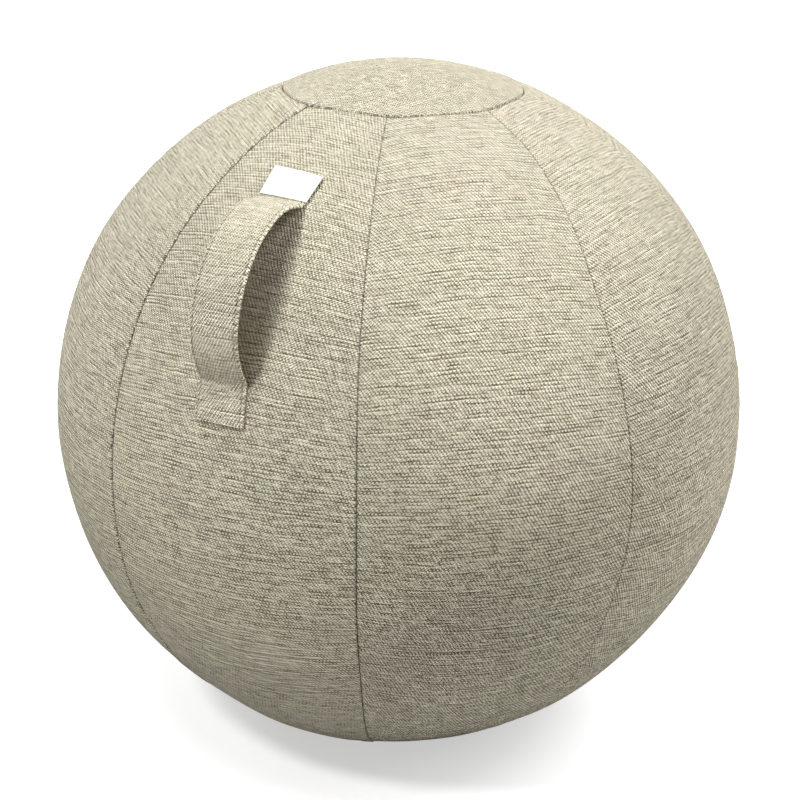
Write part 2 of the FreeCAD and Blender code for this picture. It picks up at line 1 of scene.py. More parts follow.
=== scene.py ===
"""Looks of the covered balance ball: sewn cloth gores, cap, carry strap, label, foot and zip.

Metres, in the part's own frame: +Z up, the origin in the middle of the foot, the handle on the -Y side.
Longitudes run from -Y towards +X and latitudes up from the ball's equator, in degrees.
"""
import math

import bmesh
import bpy
import numpy as np
from mathutils import Matrix, Vector


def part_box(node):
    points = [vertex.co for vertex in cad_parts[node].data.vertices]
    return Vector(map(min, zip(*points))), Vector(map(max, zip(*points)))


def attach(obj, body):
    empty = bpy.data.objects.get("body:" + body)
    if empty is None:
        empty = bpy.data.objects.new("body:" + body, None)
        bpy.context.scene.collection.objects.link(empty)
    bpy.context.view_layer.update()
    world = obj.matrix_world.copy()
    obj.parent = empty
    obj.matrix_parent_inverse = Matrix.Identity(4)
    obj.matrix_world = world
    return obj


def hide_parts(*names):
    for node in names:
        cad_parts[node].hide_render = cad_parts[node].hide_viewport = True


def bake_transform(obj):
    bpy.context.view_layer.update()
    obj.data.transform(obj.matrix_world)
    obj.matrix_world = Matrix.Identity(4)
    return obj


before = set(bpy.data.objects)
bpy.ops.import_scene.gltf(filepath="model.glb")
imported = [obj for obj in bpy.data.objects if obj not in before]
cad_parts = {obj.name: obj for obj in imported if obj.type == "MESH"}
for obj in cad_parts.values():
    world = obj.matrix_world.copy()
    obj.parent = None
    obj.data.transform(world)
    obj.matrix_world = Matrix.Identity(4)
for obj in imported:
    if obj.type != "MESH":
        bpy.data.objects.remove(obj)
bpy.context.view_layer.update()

MM = 0.001

# Sizes that the frame gives
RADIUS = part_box("cover_panel_3")[1].x
CENTRE_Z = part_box("top_cap")[1].z - RADIUS
HANDLE_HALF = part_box("handle_grip")[1].x
FOOT_RADIUS = math.sqrt(RADIUS**2 - CENTRE_Z**2)

# Cover
CLOTH = 1.2 * MM
PANELS = 8
PANEL_STEP = 360 / PANELS
CAP_POLAR = 19.9
CAP_CORNER_DEG = 0.1
FOOT_POLAR = math.degrees(math.asin(FOOT_RADIUS / RADIUS))
SEAM_GAP = 0.2 * MM
FOLD_RADIUS = 1.0 * MM
TUCKED_RADIUS = 0.7 * MM
FOLD_STEEPNESS = 1.5
STITCH_PITCH = 3.8 * MM
# How hard each seam is drawn in near the foot and near the cap, from 0 to 1, between two latitudes,
# and how far a loose fold lies open
SEAM_PULL = {0: (0.6, 0.1), 1: (0.2, 0.1), 3: (0.7, 0.7), 7: (1.0, 1.0)}
USUAL_PULL = (0.5, 0.3)
PULL_LATITUDES = (10, 60)
LOOSE_FOLD = 0.9 * MM
# How far from an edge the seam map reaches, and where it counts a tucked edge from
SEAM_REACH, TUCKED_FROM = 20 * MM, 100 * MM
# Room inside the cover for the seam allowances, which press into the ball
SEAM_ROOM = 2.0 * MM
ALLOWANCE = 9.0 * MM
ALLOWANCE_RISE = 0.95 * MM
FOOT_GAP = 0.5 * MM
PINCH_DEPTH = 0.9 * MM
PINCH_WIDTH = 20 * MM
PUCKER = 0.16 * MM
CAP_CROWN = 2.4 * MM
# Distances from a sewn edge at which the sheets have points
NEAR_EDGE = np.array([0, 0.3, 0.65, 1.0, 1.4, 2.0, 3.0, 4.6, 6.4, 8.0, 9.3, 10.8, 13.0]) * MM
GORE_ROWS, GORE_COLUMNS = 250, 26
CAP_ROWS, CAP_COLUMNS = 26, 240
# Bulges and dents of the inflated cover: longitude, latitude, height and width in degrees
LUMPS = ((-98, 58, -2.3 * MM, 15), (96, -46, -2.1 * MM, 20), (-9, -65, 1.6 * MM, 22))
# Long shallow waves of the cover
WAVE_COUNT = 14
WAVE_SHORTEST, WAVE_LONGEST = 70 * MM, 230 * MM
WAVE_HEIGHT = 0.22 * MM

# Threads: stitch spacing, half a stitch's reach over the seam, its slope and its depth below the face
THREAD_PITCH = 3.4 * MM
THREAD_REACH = 0.95 * MM
THREAD_SLOPE = 0.5 * MM
THREAD_RADIUS = 0.22 * MM
THREAD_ALONG = np.array([-1, -0.4, 0.4, 1])
THREAD_DEPTH = PINCH_DEPTH + np.array([2.0, 1.5, 1.5, 2.0]) * MM

# Inflated ball
BLADDER_WALL = 1.2 * MM
BLADDER_GROOVES = np.array([30, 36, 42, 48, 54])
GROOVE_DEPTH = 0.5 * MM
GROOVE_WIDTH_DEG = 0.7

# Zip
ZIP_SEAM = 4
ZIP_LONGITUDE = PANEL_STEP * (ZIP_SEAM + 0.5)
ZIP_LOW, ZIP_HIGH = -52.0, 48.0
ZIP_GAP = 7.0 * MM
ZIP_TAIL_DEG = 3.0
# Places across a tape, closer together at its corded edge
TAPE_ACROSS = np.array([0.3, 1.2, 3.4, 4.2, 6, 9, 12, 14.6, 15]) * MM
TAPE_INNER = RADIUS - 1.9 * MM
TAPE_THICK = 0.6 * MM
COIL_PITCH = 2.1 * MM
COIL_WIRE = 0.32 * MM
# The coil's middle and half its reach, across and up from the tape's face
COIL_ACROSS = (1.72, 1.14)
COIL_UP = (1.17, 0.8)

# Handle
HANDLE_LATITUDE = 35.1
STRAP_THICK = 3.0 * MM
STRAP_LAYER = 1.4 * MM
STRAP_SLIT = 0.25 * MM
ARCH_TOP = RADIUS + 41.5 * MM
# Each half of the strap, the lower at -1 and the upper at 1: crown and shoulder radius, the angles
# where each ends, and the radius of the bend onto the ball
STRAP_CURVES = {
    -1: (115 * MM, 20.0, 69 * MM, 70.0, 5.3 * MM),
    1: (94 * MM, 36.0, 54 * MM, 66.0, 10.5 * MM),
}
TAB_GAP = 0.1 * MM
LOWER_TAB_END = 120 * MM
UPPER_TAB_END = 109 * MM
TAB_FLARE = 0.06
TAB_DRIFT = {-1: 1.4 * MM, 1: 2.6 * MM}
HEM_WIDTH = 2.4 * MM
HEM_GROOVE = 1.6 * MM
# The label's corners: across, and along the ball's surface from the middle of the handle
LABEL_FOOT = ((-23.1 * MM, 83.6 * MM), (24.7 * MM, 82.0 * MM))
LABEL_HEAD = ((-21.8 * MM, 114.8 * MM), (27.7 * MM, 110.3 * MM))
LABEL_THICK = 0.5 * MM
LABEL_LIFT = 0.35 * MM
LABEL_CURL, LABEL_DROP = 0.3 * MM, 0.5 * MM

# Weave, measured on the cloth: rows lie across a gore, and each row's floats are set on by a part of one
FLOAT_LENGTH = 3.165 * MM
ROW_PITCH = 3.235 * MM
ROW_SHIFT = 0.613
STRAP_FLOAT_LENGTH = 2.9 * MM
CAP_WEAVE_TURN = 63.0
# Each wave of the relief: how it counts rows, how it counts slanting lines, and its strength
WEAVE_WAVES = ((1, 0, 0.8), (0, 1, 1.1), (1, -1, 0.65), (2, -1, 1.0))
# Each sway of the yarns: noise scale per metre, and reach
WEAVE_SWAYS = ((24.0, 2.6 * MM), (150.0, 0.9 * MM))
WEAVE_RELIEF = 2.4 * MM
# Unevenness of the yarns: scale along the rows, scale across them, seed and detail
STREAKS = (30.0, 7.31, 0.0, 2.0)
BANDS = (26.0, 80.0, 9.0, 1.0)
LININGS = (34.0, 110.0, 13.0, 1.0)
YARNS = (110.0, 3.93, 4.0, 1.0)
PLIES = (60.0, 5.71, 2.0, 1.0)
SHORT_LINES = (55.0, 4.73, 6.0, 1.0)
LONG_LINES = (9.0, 9.17, 8.0, 1.0)
FIBRES = (1100.0, 2200.0, 0.0, 2.0)
# Painted relief shade: the weave's contrast is painted stronger low on the ball, where light from above
# grazes the cloth and shades its yarns, and weaker on top, so its contrast falls between these heights
PAINTED_RELIEF_LOW, PAINTED_RELIEF_HIGH = 0.10, 0.58
PAINTED_RELIEF_MOST, PAINTED_RELIEF_LEAST, PAINTED_RELIEF_CAP = 1.45, 0.72, 0.4

# Camera
VIEW_AZIMUTH, VIEW_ELEVATION, VIEW_ROLL = 28.72, 20.1, 0.81
VIEW_DISTANCE = 6.89 * RADIUS
FOCAL_PIXELS = 2326.0
IMAGE_SIZE = 800
BALL_PIXEL = (398.52, 400.06)
SENSOR = 36.0

# Floor and lamps
WORLD_LIGHT = 0.0
FLOOR_WHITE = 0.55
FLOOR_GLOW_NEAR, FLOOR_GLOW_FAR = 0.55, 1.0
FLOOR_NEAR, FLOOR_FAR = 0.5, 1.5
FLOOR_REACH = 12.0
FLOOR_Z = -0.4 * MM
PLAIN_WHITE = (1.0, 1.0, 1.0)
# Each lamp's name, azimuth, elevation, distance, size, power and colour
LAMPS = [
    ("key", -20, 46, 3.0, 0.5, 66.0, PLAIN_WHITE),
    ("upper", -20, 68, 3.0, 1.1, 46.0, PLAIN_WHITE),
    ("side_high", 118, 50, 3.0, 1.4, 76.0, PLAIN_WHITE),
    ("side_low", 110, 30, 3.0, 1.4, 33.0, PLAIN_WHITE),
    ("rim_left", -115, 12, 3.0, 1.0, 22.0, (0.92, 1.0, 0.95)),
    ("front_low", 15, 5, 3.4, 0.4, 3.0, PLAIN_WHITE),
    ("back", 200, 15, 3.0, 1.4, 30.0, PLAIN_WHITE),
]


def ball_frame(longitude, latitude):
    """Across, up-the-meridian and outward directions at a place on the ball."""
    lon = math.radians(longitude)
    across = np.array([math.cos(lon), math.sin(lon), 0.0])
    out = directions(longitude, latitude)
    return across, np.cross(out, across), out


def directions(longitude, latitude):
    """Unit vectors from the ball's centre for arrays of longitudes and latitudes."""
    lon, lat = np.radians(longitude), np.radians(latitude)
    return np.stack([np.sin(lon) * np.cos(lat), -np.cos(lon) * np.cos(lat), np.sin(lat)], -1)


def from_centre(unit, radius):
    """Points at a radius from the ball's centre along unit vectors."""
    return unit * np.asarray(radius)[..., None] + np.array([0, 0, CENTRE_Z])


def smooth_step(low, high, value):
    t = np.clip((value - low) / (high - low), 0, 1)
    return t * t * (3 - 2 * t)


def make_mesh(name, points, faces, material, uv=None, seam=None, angle=35, weld=False, flip_check=False):
    """A smooth-shaded mesh object with optional weave and seam maps in metres."""
    mesh = bpy.data.meshes.new(name)
    mesh.from_pydata(np.asarray(points).reshape(-1, 3).tolist(), [], faces)
    corners = np.zeros(len(mesh.loops), np.int32)
    mesh.loops.foreach_get("vertex_index", corners)
    for title, values in (("weave", uv), ("seam", seam)):
        if values is not None:
            layer = mesh.uv_layers.new(name=title)
            layer.data.foreach_set("uv", np.asarray(values, np.float32).reshape(-1, 2)[corners].ravel())
    if weld or flip_check:
        work = bmesh.new()
        work.from_mesh(mesh)
        if weld:
            bmesh.ops.remove_doubles(work, verts=work.verts, dist=0.001 * MM)
        bmesh.ops.recalc_face_normals(work, faces=work.faces)
        work.to_mesh(mesh)
        work.free()
    mesh.polygons.foreach_set("use_smooth", [True] * len(mesh.polygons))
    mesh.set_sharp_from_angle(angle=math.radians(angle))
    mesh.materials.append(material)
    piece = bpy.data.objects.new(name, mesh)
    bpy.context.scene.collection.objects.link(piece)
    return piece


def slab(name, outer, inner, material, uv, seam=None, wrap=False, pole=False, **options):
    """A closed sheet between two grids of points. Rows go up and columns to the right, seen from outside.

    With wrap its columns go round, and with pole its last row is a single point.
    """
    rows, columns = outer.shape[:2]
    index = np.arange(rows * columns).reshape(rows, columns)
    if wrap:
        index = np.concatenate([index, index[:, :1]], 1)
    back = index + rows * columns
    a, b, c, d = index[:-1, :-1], index[:-1, 1:], index[1:, 1:], index[1:, :-1]
    e, f, g, h = back[:-1, :-1], back[:-1, 1:], back[1:, 1:], back[1:, :-1]
    quads = [np.stack([a, b, c, d], -1), np.stack([e, h, g, f], -1)]
    quads.append(np.stack([b[0], a[0], e[0], f[0]], -1))
    if not pole:
        quads.append(np.stack([d[-1], c[-1], g[-1], h[-1]], -1))
    if not wrap:
        quads.append(np.stack([a[:, 0], d[:, 0], h[:, 0], e[:, 0]], -1))
        quads.append(np.stack([c[:, -1], b[:, -1], f[:, -1], g[:, -1]], -1))
    faces = np.concatenate([q.reshape(-1, 4) for q in quads]).tolist()
    both = np.concatenate([outer.reshape(-1, 3), inner.reshape(-1, 3)])
    maps = np.concatenate([uv.reshape(-1, 2)] * 2)
    if seam is not None:
        seam = np.concatenate([seam.reshape(-1, 2)] * 2)
    return make_mesh(name, both, faces, material, maps, seam, weld=pole, **options)


def sweep(name, paths, radius, material, sides=6):
    """Round threads or wires along several lines of points, joined in one mesh."""
    points, faces = [], []
    turn = np.arange(sides) * 2 * math.pi / sides
    for path in paths:
        path = np.asarray(path, float)
        along = np.gradient(path, axis=0)
        along /= np.linalg.norm(along, axis=1)[:, None]
        guide = path - np.array([0, 0, CENTRE_Z])
        side = np.cross(along, guide)
        side /= np.linalg.norm(side, axis=1)[:, None]
        up = np.cross(side, along)
        rings = path[:, None] + radius * (
            np.cos(turn)[None, :, None] * side[:, None] + np.sin(turn)[None, :, None] * up[:, None]
        )
        start = len(points)
        points.extend(rings.reshape(-1, 3).tolist())
        count = len(path)
        for i in range(count - 1):
            for k in range(sides):
                n = (k + 1) % sides
                low, high = start + i * sides, start + (i + 1) * sides
                faces.append((low + k, low + n, high + n, high + k))
        faces.append(tuple(start + k for k in reversed(range(sides))))
        faces.append(tuple(start + (count - 1) * sides + k for k in range(sides)))
    return make_mesh(name, points, faces, material, angle=80, flip_check=True)


def settle(piece, slot, *nodes):
    """Fixes a piece to the ball's own body, in place of the solids that it shows. Its slot is not used."""
    if nodes:
        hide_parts(*nodes)
    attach(piece, "root")


class Graph:
    """A small writer of shader nodes for one material."""

    def __init__(self, name):
        self.material = bpy.data.materials.new(name)
        self.material.use_nodes = True
        self.tree = self.material.node_tree
        self.shader = self.tree.nodes["Principled BSDF"]

    def node(self, kind, settings=None, **inputs):
        made = self.tree.nodes.new(kind)
        for key, value in (settings or {}).items():
            setattr(made, key, value)
        for key, value in inputs.items():
            self.feed(made.inputs[key.replace("_", " ")], value)
        return made

    def feed(self, socket, value):
        if isinstance(value, bpy.types.NodeSocket):
            self.tree.links.new(value, socket)
        else:
            socket.default_value = value

    def calc(self, operation, a, b=0.0, c=0.0):
        made = self.node("ShaderNodeMath", {"operation": operation})
        for socket, value in zip(made.inputs, (a, b, c)):
            self.feed(socket, value)
        return made.outputs[0]

    def times(self, a, b):
        return self.calc("MULTIPLY", a, b)

    def ramp(self, value, low, high, to_low=0.0, to_high=1.0):
        """A smooth change from to_low to to_high as value goes from low to high."""
        made = self.node("ShaderNodeMapRange", {"interpolation_type": "SMOOTHSTEP"})
        for socket, fed in zip(made.inputs[:5], (value, low, high, to_low, to_high)):
            self.feed(socket, fed)
        return made.outputs[0]

    def vector(self, x, y, z=0.0):
        made = self.node("ShaderNodeCombineXYZ")
        for socket, value in zip(made.inputs, (x, y, z)):
            self.feed(socket, value)
        return made.outputs[0]

    def noise(self, vector, scale, detail=2.0, rough=0.5):
        made = self.node("ShaderNodeTexNoise", Vector=vector, Scale=scale, Detail=detail)
        made.inputs["Roughness"].default_value = rough
        return made.outputs["Fac"]

    def uneven(self, along, across, kind):
        """Noise drawn out along the yarns, of one of the kinds above."""
        along_scale, across_scale, seed, detail = kind
        stretched = self.vector(self.times(along, along_scale), self.times(across, across_scale), seed)
        return self.noise(stretched, 1.0, detail)

    def random(self, vector):
        made = self.node("ShaderNodeTexWhiteNoise", {"noise_dimensions": "3D"}, Vector=vector)
        return made.outputs["Value"]

    def mix(self, share, first, second, blend="MIX"):
        made = self.node("ShaderNodeMix", {"data_type": "RGBA", "blend_type": blend})
        self.feed(made.inputs[0], share)
        self.feed(made.inputs[6], first)
        self.feed(made.inputs[7], second)
        return made.outputs[2]

    def surface_map(self, title="weave"):
        """One of the piece's maps in metres: across and up the weave, or in from a seam and along it."""
        made = self.node("ShaderNodeUVMap", {"uv_map": title})
        split = self.node("ShaderNodeSeparateXYZ", Vector=made.outputs[0])
        return split.outputs[0], split.outputs[1]

    def place(self):
        """Coordinates fixed to the piece, in metres."""
        return self.node("ShaderNodeTexCoord").outputs["Object"]

    def bump(self, height, distance, strength=1.0):
        made = self.node("ShaderNodeBump", Height=height, Distance=distance, Strength=strength)
        self.feed(self.shader.inputs["Normal"], made.outputs[0])

    def finish(self, color, **constants):
        self.feed(self.shader.inputs["Base Color"], color)
        for key, value in constants.items():
            self.shader.inputs[key.replace("_", " ")].default_value = value
        return self.material


def srgb(red, green, blue):
    """A colour from its 0 to 255 display values."""
    def linear(value):
        value /= 255
        return value / 12.92 if value <= 0.04045 else ((value + 0.055) / 1.055) ** 2.4

    return (linear(red), linear(green), linear(blue), 1.0)


CREAM_GREEN = srgb(254, 247, 221)
CREAM_PINK = srgb(255, 245, 221)
WARP_OLIVE = srgb(104, 93, 66)
# Painted shade for the dark line in each seam's fold and at each stitch's dimple
SEAM_PAINTED_SHADE = srgb(50, 44, 31)


def cover_cloth(name, cream_share, streaks=1.0):
    """The greige cloth: cream weft floats in slanting rows over a dark warp, with slubs and a melange.

    Two phases count the cloth's rows and its slanting lines of floats. A float sits where both are whole.
    """
    g = Graph(name)
    u, v = g.surface_map()
    flat = g.vector(u, v)
    for scale, sway in WEAVE_SWAYS:
        shift_u = g.calc("SUBTRACT", g.noise(g.vector(v, u, 0.3), scale, 0.0), 0.5)
        shift_v = g.calc("SUBTRACT", g.noise(flat, scale, 0.0), 0.5)
        u = g.calc("MULTIPLY_ADD", shift_u, sway, u)
        v = g.calc("MULTIPLY_ADD", shift_v, sway, v)
    rows = g.calc("DIVIDE", v, ROW_PITCH)
    row = g.calc("FLOOR", g.calc("ADD", rows, 0.5))
    off_row = g.calc("SUBTRACT", rows, row)
    slant = g.calc("MULTIPLY_ADD", rows, ROW_SHIFT, g.calc("DIVIDE", u, FLOAT_LENGTH))
    slant = g.calc("MULTIPLY_ADD", g.random(g.vector(row, 3.7)), 0.16, slant)
    line = g.calc("FLOOR", g.calc("ADD", slant, 0.5))
    weave = 0.0
    for row_part, slant_part, strength in WEAVE_WAVES:
        angle = g.times(rows, row_part * 2 * math.pi)
        angle = g.calc("MULTIPLY_ADD", slant, slant_part * 2 * math.pi, angle)
        weave = g.calc("MULTIPLY_ADD", g.calc("COSINE", angle), strength, weave)
    float_random = g.random(g.vector(line, row, 1.9))
    half_random = g.random(g.vector(g.calc("FLOOR", g.times(slant, 2.0)), row, 5.3))
    half_row = g.calc("FLOOR", g.times(rows, 2.0))
    every_row = g.calc("COSINE", g.times(row, math.pi))
    every_half = g.calc("COSINE", g.times(half_row, math.pi))
    # Bands and thin lines that turn light and dark from row to row, and dark lines between rows
    banding = g.times(g.calc("SUBTRACT", g.uneven(u, v, BANDS), 0.5), every_row)
    lining = g.times(g.calc("SUBTRACT", g.uneven(u, v, LININGS), 0.5), every_half)
    between = g.calc("FLOOR", rows)
    short_line = g.ramp(g.uneven(u, between, SHORT_LINES), 0.50, 0.66)
    long_line = g.ramp(g.uneven(u, between, LONG_LINES), 0.50, 0.70)
    line_share = g.calc("MULTIPLY_ADD", long_line, 0.55, short_line)
    dark_line = g.ramp(g.calc("ABSOLUTE", off_row), 0.26, 0.48)
    dark_line = g.times(dark_line, g.calc("MINIMUM", line_share, 1.1))
    fibre = g.uneven(u, v, FIBRES)
    lively = g.calc("MULTIPLY_ADD", float_random, 1.0, 0.50)
    share = g.times(weave, g.times(lively, 0.31))
    for part, middle, strength in (
        (g.uneven(u, row, STREAKS), 0.5, 0.20 * streaks),
        (g.uneven(u, row, YARNS), 0.5, 0.40 * streaks),
        (g.uneven(u, half_row, PLIES), 0.5, 0.70 * streaks),
        (banding, 0.0, 1.0 * streaks),
        (lining, 0.0, 1.5 * streaks),
        (g.noise(flat, 40.0, 2.0), 0.5, 0.05),
        (half_random, 0.5, 0.48),
        (fibre, 0.5, 0.60),
        (dark_line, 0.0, -0.58 * streaks),
    ):
        share = g.calc("MULTIPLY_ADD", g.calc("SUBTRACT", part, middle), strength, share)
    height = g.node("ShaderNodeSeparateXYZ", Vector=g.place()).outputs[2]
    # Painted relief shade: the weave's contrast is stronger low down and is raised again on the cap
    painted_relief = g.ramp(height, PAINTED_RELIEF_LOW, PAINTED_RELIEF_HIGH, PAINTED_RELIEF_MOST, PAINTED_RELIEF_LEAST)
    on_cap = g.ramp(height, PAINTED_RELIEF_HIGH + 25 * MM, PAINTED_RELIEF_HIGH + 45 * MM, 0.0, PAINTED_RELIEF_CAP)
    painted_relief = g.calc("ADD", painted_relief, on_cap)
    share = g.calc("MULTIPLY_ADD", share, painted_relief, cream_share)
    share = g.calc("MINIMUM", g.calc("MAXIMUM", share, 0.0), 1.0)
    tint = g.ramp(g.noise(flat, 14.0, 2.0), 0.38, 0.62)
    cream = g.mix(tint, CREAM_GREEN, CREAM_PINK)
    color = g.mix(share, WARP_OLIVE, cream)
    # Painted shade: the cloth is darkened in each seam's fold and stitch dimple
    fold, dimple = painted_seam_shade(g)
    color = g.mix(fold, color, SEAM_PAINTED_SHADE)
    relief = g.calc("MULTIPLY_ADD", weave, 0.25, g.times(fibre, 0.15))
    g.bump(g.calc("MULTIPLY_ADD", dimple, -0.35, relief), WEAVE_RELIEF)
    return g.finish(
        color, Roughness=0.92, Specular_IOR_Level=0.12,
        Sheen_Weight=0.16, Sheen_Roughness=0.55, Sheen_Tint=(0.95, 0.94, 0.84, 1.0),
    )


def painted_seam_shade(g):
    """Painted shade in a seam's fold, by how deep the cloth lies in it, and the dimple that each stitch pulls
    beside it, which is painted darker too.
    """
    away, run = g.surface_map("seam")
    tucked = g.calc("SUBTRACT", TUCKED_FROM, away)
    stitch = g.calc("COSINE", g.times(run, 2 * math.pi / STITCH_PITCH))
    stitch = g.calc("MULTIPLY_ADD", stitch, 0.5, 0.5)
    uneven = g.ramp(g.noise(g.vector(run, 0.0), 30.0, 2.0), 0.35, 0.65, 0.75, 1.0)
    # Painted shade deep in a tucked edge's fold, on a raised edge's lip and in each stitch's dimple
    under = g.times(g.ramp(tucked, 0.5 * MM, 1.5 * MM, 1.0, 0.0), uneven)
    dimple = g.times(g.ramp(tucked, 0.8 * MM, 2.6 * MM, 1.0, 0.0), stitch)
    over = g.ramp(away, 0.1 * MM, 0.6 * MM, 0.85, 0.0)
    fold = g.calc("MAXIMUM", g.times(under, 0.85), over)
    fold = g.calc("MAXIMUM", fold, g.times(dimple, 0.45))
    return fold, dimple


def fine_cloth(name, light, dark, pitch, rough=0.9, depth=0.12 * MM):
    """A fine plain weave for the label, the linings and the zip's tapes."""
    g = Graph(name)
    u, v = g.surface_map()
    wave_u = g.calc("SINE", g.times(u, math.pi / pitch))
    wave_v = g.calc("SINE", g.times(v, math.pi / pitch))
    cross = g.calc("ABSOLUTE", g.times(wave_u, wave_v))
    soft = g.noise(g.vector(u, v), 90.0, 3.0)
    share = g.calc("MULTIPLY_ADD", soft, 0.5, g.times(cross, 0.6))
    g.bump(cross, depth)
    return g.finish(g.mix(share, dark, light), Roughness=rough, Sheen_Weight=0.15)


def coated_cloth():
    """The foot's dark cloth with a raised pattern of grip dots."""
    g = Graph("foot_cloth")
    u, v = g.surface_map()
    pitch = 5 * MM
    a = g.calc("SUBTRACT", g.calc("FRACT", g.calc("DIVIDE", u, pitch)), 0.5)
    b = g.calc("SUBTRACT", g.calc("FRACT", g.calc("DIVIDE", v, pitch)), 0.5)
    away = g.calc("SQRT", g.calc("ADD", g.times(a, a), g.times(b, b)))
    dot = g.ramp(away, 0.18, 0.26, 1.0, 0.0)
    worn = g.noise(g.vector(u, v), 40.0, 4.0)
    cloth = g.mix(worn, srgb(44, 42, 38), srgb(70, 67, 60))
    g.bump(g.calc("MULTIPLY_ADD", worn, 0.2, dot), 0.5 * MM)
    return g.finish(g.mix(dot, cloth, srgb(28, 28, 28)), Roughness=0.7)


def plastic(name, base, other, rough, scale=60.0, depth=0.03 * MM):
    """Moulded plastic or vinyl with a faint mottle and a fine grain."""
    g = Graph(name)
    place = g.place()
    mottle = g.noise(place, scale, 4.0)
    grain = g.noise(place, scale * 40, 2.0)
    g.bump(grain, depth)
    return g.finish(g.mix(mottle, base, other), Roughness=rough)


def enamelled_metal():
    """Satin enamel over die-cast metal, rubbed brighter in places."""
    g = Graph("zip_metal")
    place = g.place()
    worn = g.ramp(g.noise(place, 500.0, 5.0), 0.52, 0.70)
    g.bump(g.noise(place, 2500.0, 2.0), 0.02 * MM)
    color = g.mix(worn, srgb(104, 96, 82), srgb(168, 160, 144))
    return g.finish(color, Roughness=0.38, Metallic=0.75)


def thread_material(name, base, other):
    """Twisted sewing thread."""
    g = Graph(name)
    place = g.place()
    twist = g.noise(place, 1500.0, 2.0)
    g.bump(twist, 0.08 * MM)
    return g.finish(g.mix(twist, base, other), Roughness=0.8, Sheen_Weight=0.2)


# How far each seam wanders from its meridian, in millimetres at five latitudes; the zip's seam is straight
WANDER_LATITUDES = (-55, -28, 0, 30, 60)
SEAM_WANDER = {
    0: (-2.5, 0.8, 1.5, -1.8, -1.8),
    1: (-8, -7, -1.5, -4, 8),
    2: (2, -2, 1.5, 2, -2),
    3: (-2, 1.5, -1, 2, 1),
    ZIP_SEAM: (0, 0, 0, 0, 0),
    5: (1.5, -1.5, 1, -1, 2),
    6: (2, 1.5, -2, 1, -1.5),
    7: (-15, -4.5, 3.5, 1.8, 4.5),
}


def seam_longitude(seam, latitude):
    """Where a seam lies at each latitude, in degrees."""
    knots = np.array(SEAM_WANDER[seam % PANELS], float)
    level = np.interp(latitude, WANDER_LATITUDES, np.arange(len(knots)))
    low = np.clip(np.floor(level).astype(int), 0, len(knots) - 2)
    offset = knots[low] + (knots[low + 1] - knots[low]) * smooth_step(0, 1, level - low)
    return PANEL_STEP * (seam + 0.5) + np.degrees(offset * MM / (RADIUS * np.cos(np.radians(latitude))))


def rim_polar(longitude):
    """The cap's edge, a circle drawn a little towards its seams."""
    return CAP_POLAR + CAP_CORNER_DEG * np.cos(np.radians(PANELS * (longitude - PANEL_STEP / 2)))


WAVES = np.random.default_rng(7)
WAVE_WAYS = WAVES.normal(size=(WAVE_COUNT, 3))
WAVE_LENGTHS = WAVES.uniform(WAVE_SHORTEST, WAVE_LONGEST, WAVE_COUNT)
WAVE_WAYS *= (2 * math.pi * RADIUS / WAVE_LENGTHS / np.linalg.norm(WAVE_WAYS, axis=1))[:, None]
WAVE_STARTS = WAVES.uniform(0, 2 * math.pi, WAVE_COUNT)


def undulation(unit):
    """Gentle unevenness of the taut cover, which fades out under the strap and along the zip."""
    waves = np.sin(unit @ WAVE_WAYS.T + WAVE_STARTS).sum(-1) * WAVE_HEIGHT
    for longitude, latitude, height, width in LUMPS:
        away = np.degrees(np.arccos(np.clip(unit @ directions(longitude, latitude), -1, 1)))
        waves = waves + height * np.exp(-((away / width) ** 2))
    across, up, out = ball_frame(0, HANDLE_LATITUDE)
    x, y, z = unit @ across * RADIUS, unit @ up * RADIUS, unit @ out
    near = (1 - smooth_step(25 * MM, 55 * MM, np.abs(x))) * (1 - smooth_step(0.12, 0.17, np.abs(y)))
    calm = 1 - near * (z > 0)
    zip_across, _, zip_out = ball_frame(ZIP_LONGITUDE, 0)
    x, z = unit @ zip_across * RADIUS, unit @ zip_out
    calm *= 1 - (1 - smooth_step(15 * MM, 45 * MM, np.abs(x))) * (z > 0)
    return waves * calm


def edge_drop(distance, radius=FOLD_RADIUS):
    """How far the cloth's face rolls in at a sewn edge, by the distance from it."""
    inside = np.clip(1 - distance / radius, 0, 1)
    return -FOLD_STEEPNESS * radius * (1 - np.sqrt(1 - inside**2))


def seam_map(raised, raised_run, tucked, tucked_run):
    """For each point, the nearest sewn edge: how far in from it, and where along it.

    Distances from a raised edge count up from nothing, and those from a tucked edge down from TUCKED_FROM.
    """
    near_raised = raised < tucked
    from_tucked = TUCKED_FROM - np.minimum(tucked, SEAM_REACH)
    away = np.where(near_raised, np.minimum(raised, SEAM_REACH), from_tucked)
    return np.stack([away, np.where(near_raised, raised_run, tucked_run)], -1)


def edge_rise(distance, layers):
    """The step over the seam allowance that lies under the cloth."""
    rise = smooth_step(0.2 * MM, 1.2 * MM, distance) * (1 - smooth_step(0.8, 1.25, distance / ALLOWANCE))
    return ALLOWANCE_RISE * layers * rise


def across_steps(width, count):
    """Distances from one edge to the other, close together near both."""
    ends = NEAR_EDGE[None, :] * np.ones_like(width)[:, None]
    share = np.linspace(0, 1, count + 2)[1:-1]
    low, high = NEAR_EDGE[-1], width - NEAR_EDGE[-1]
    middle = low + (high - low)[:, None] * share[None, :]
    return np.concatenate([ends, middle, width[:, None] - ends[:, ::-1]], 1)


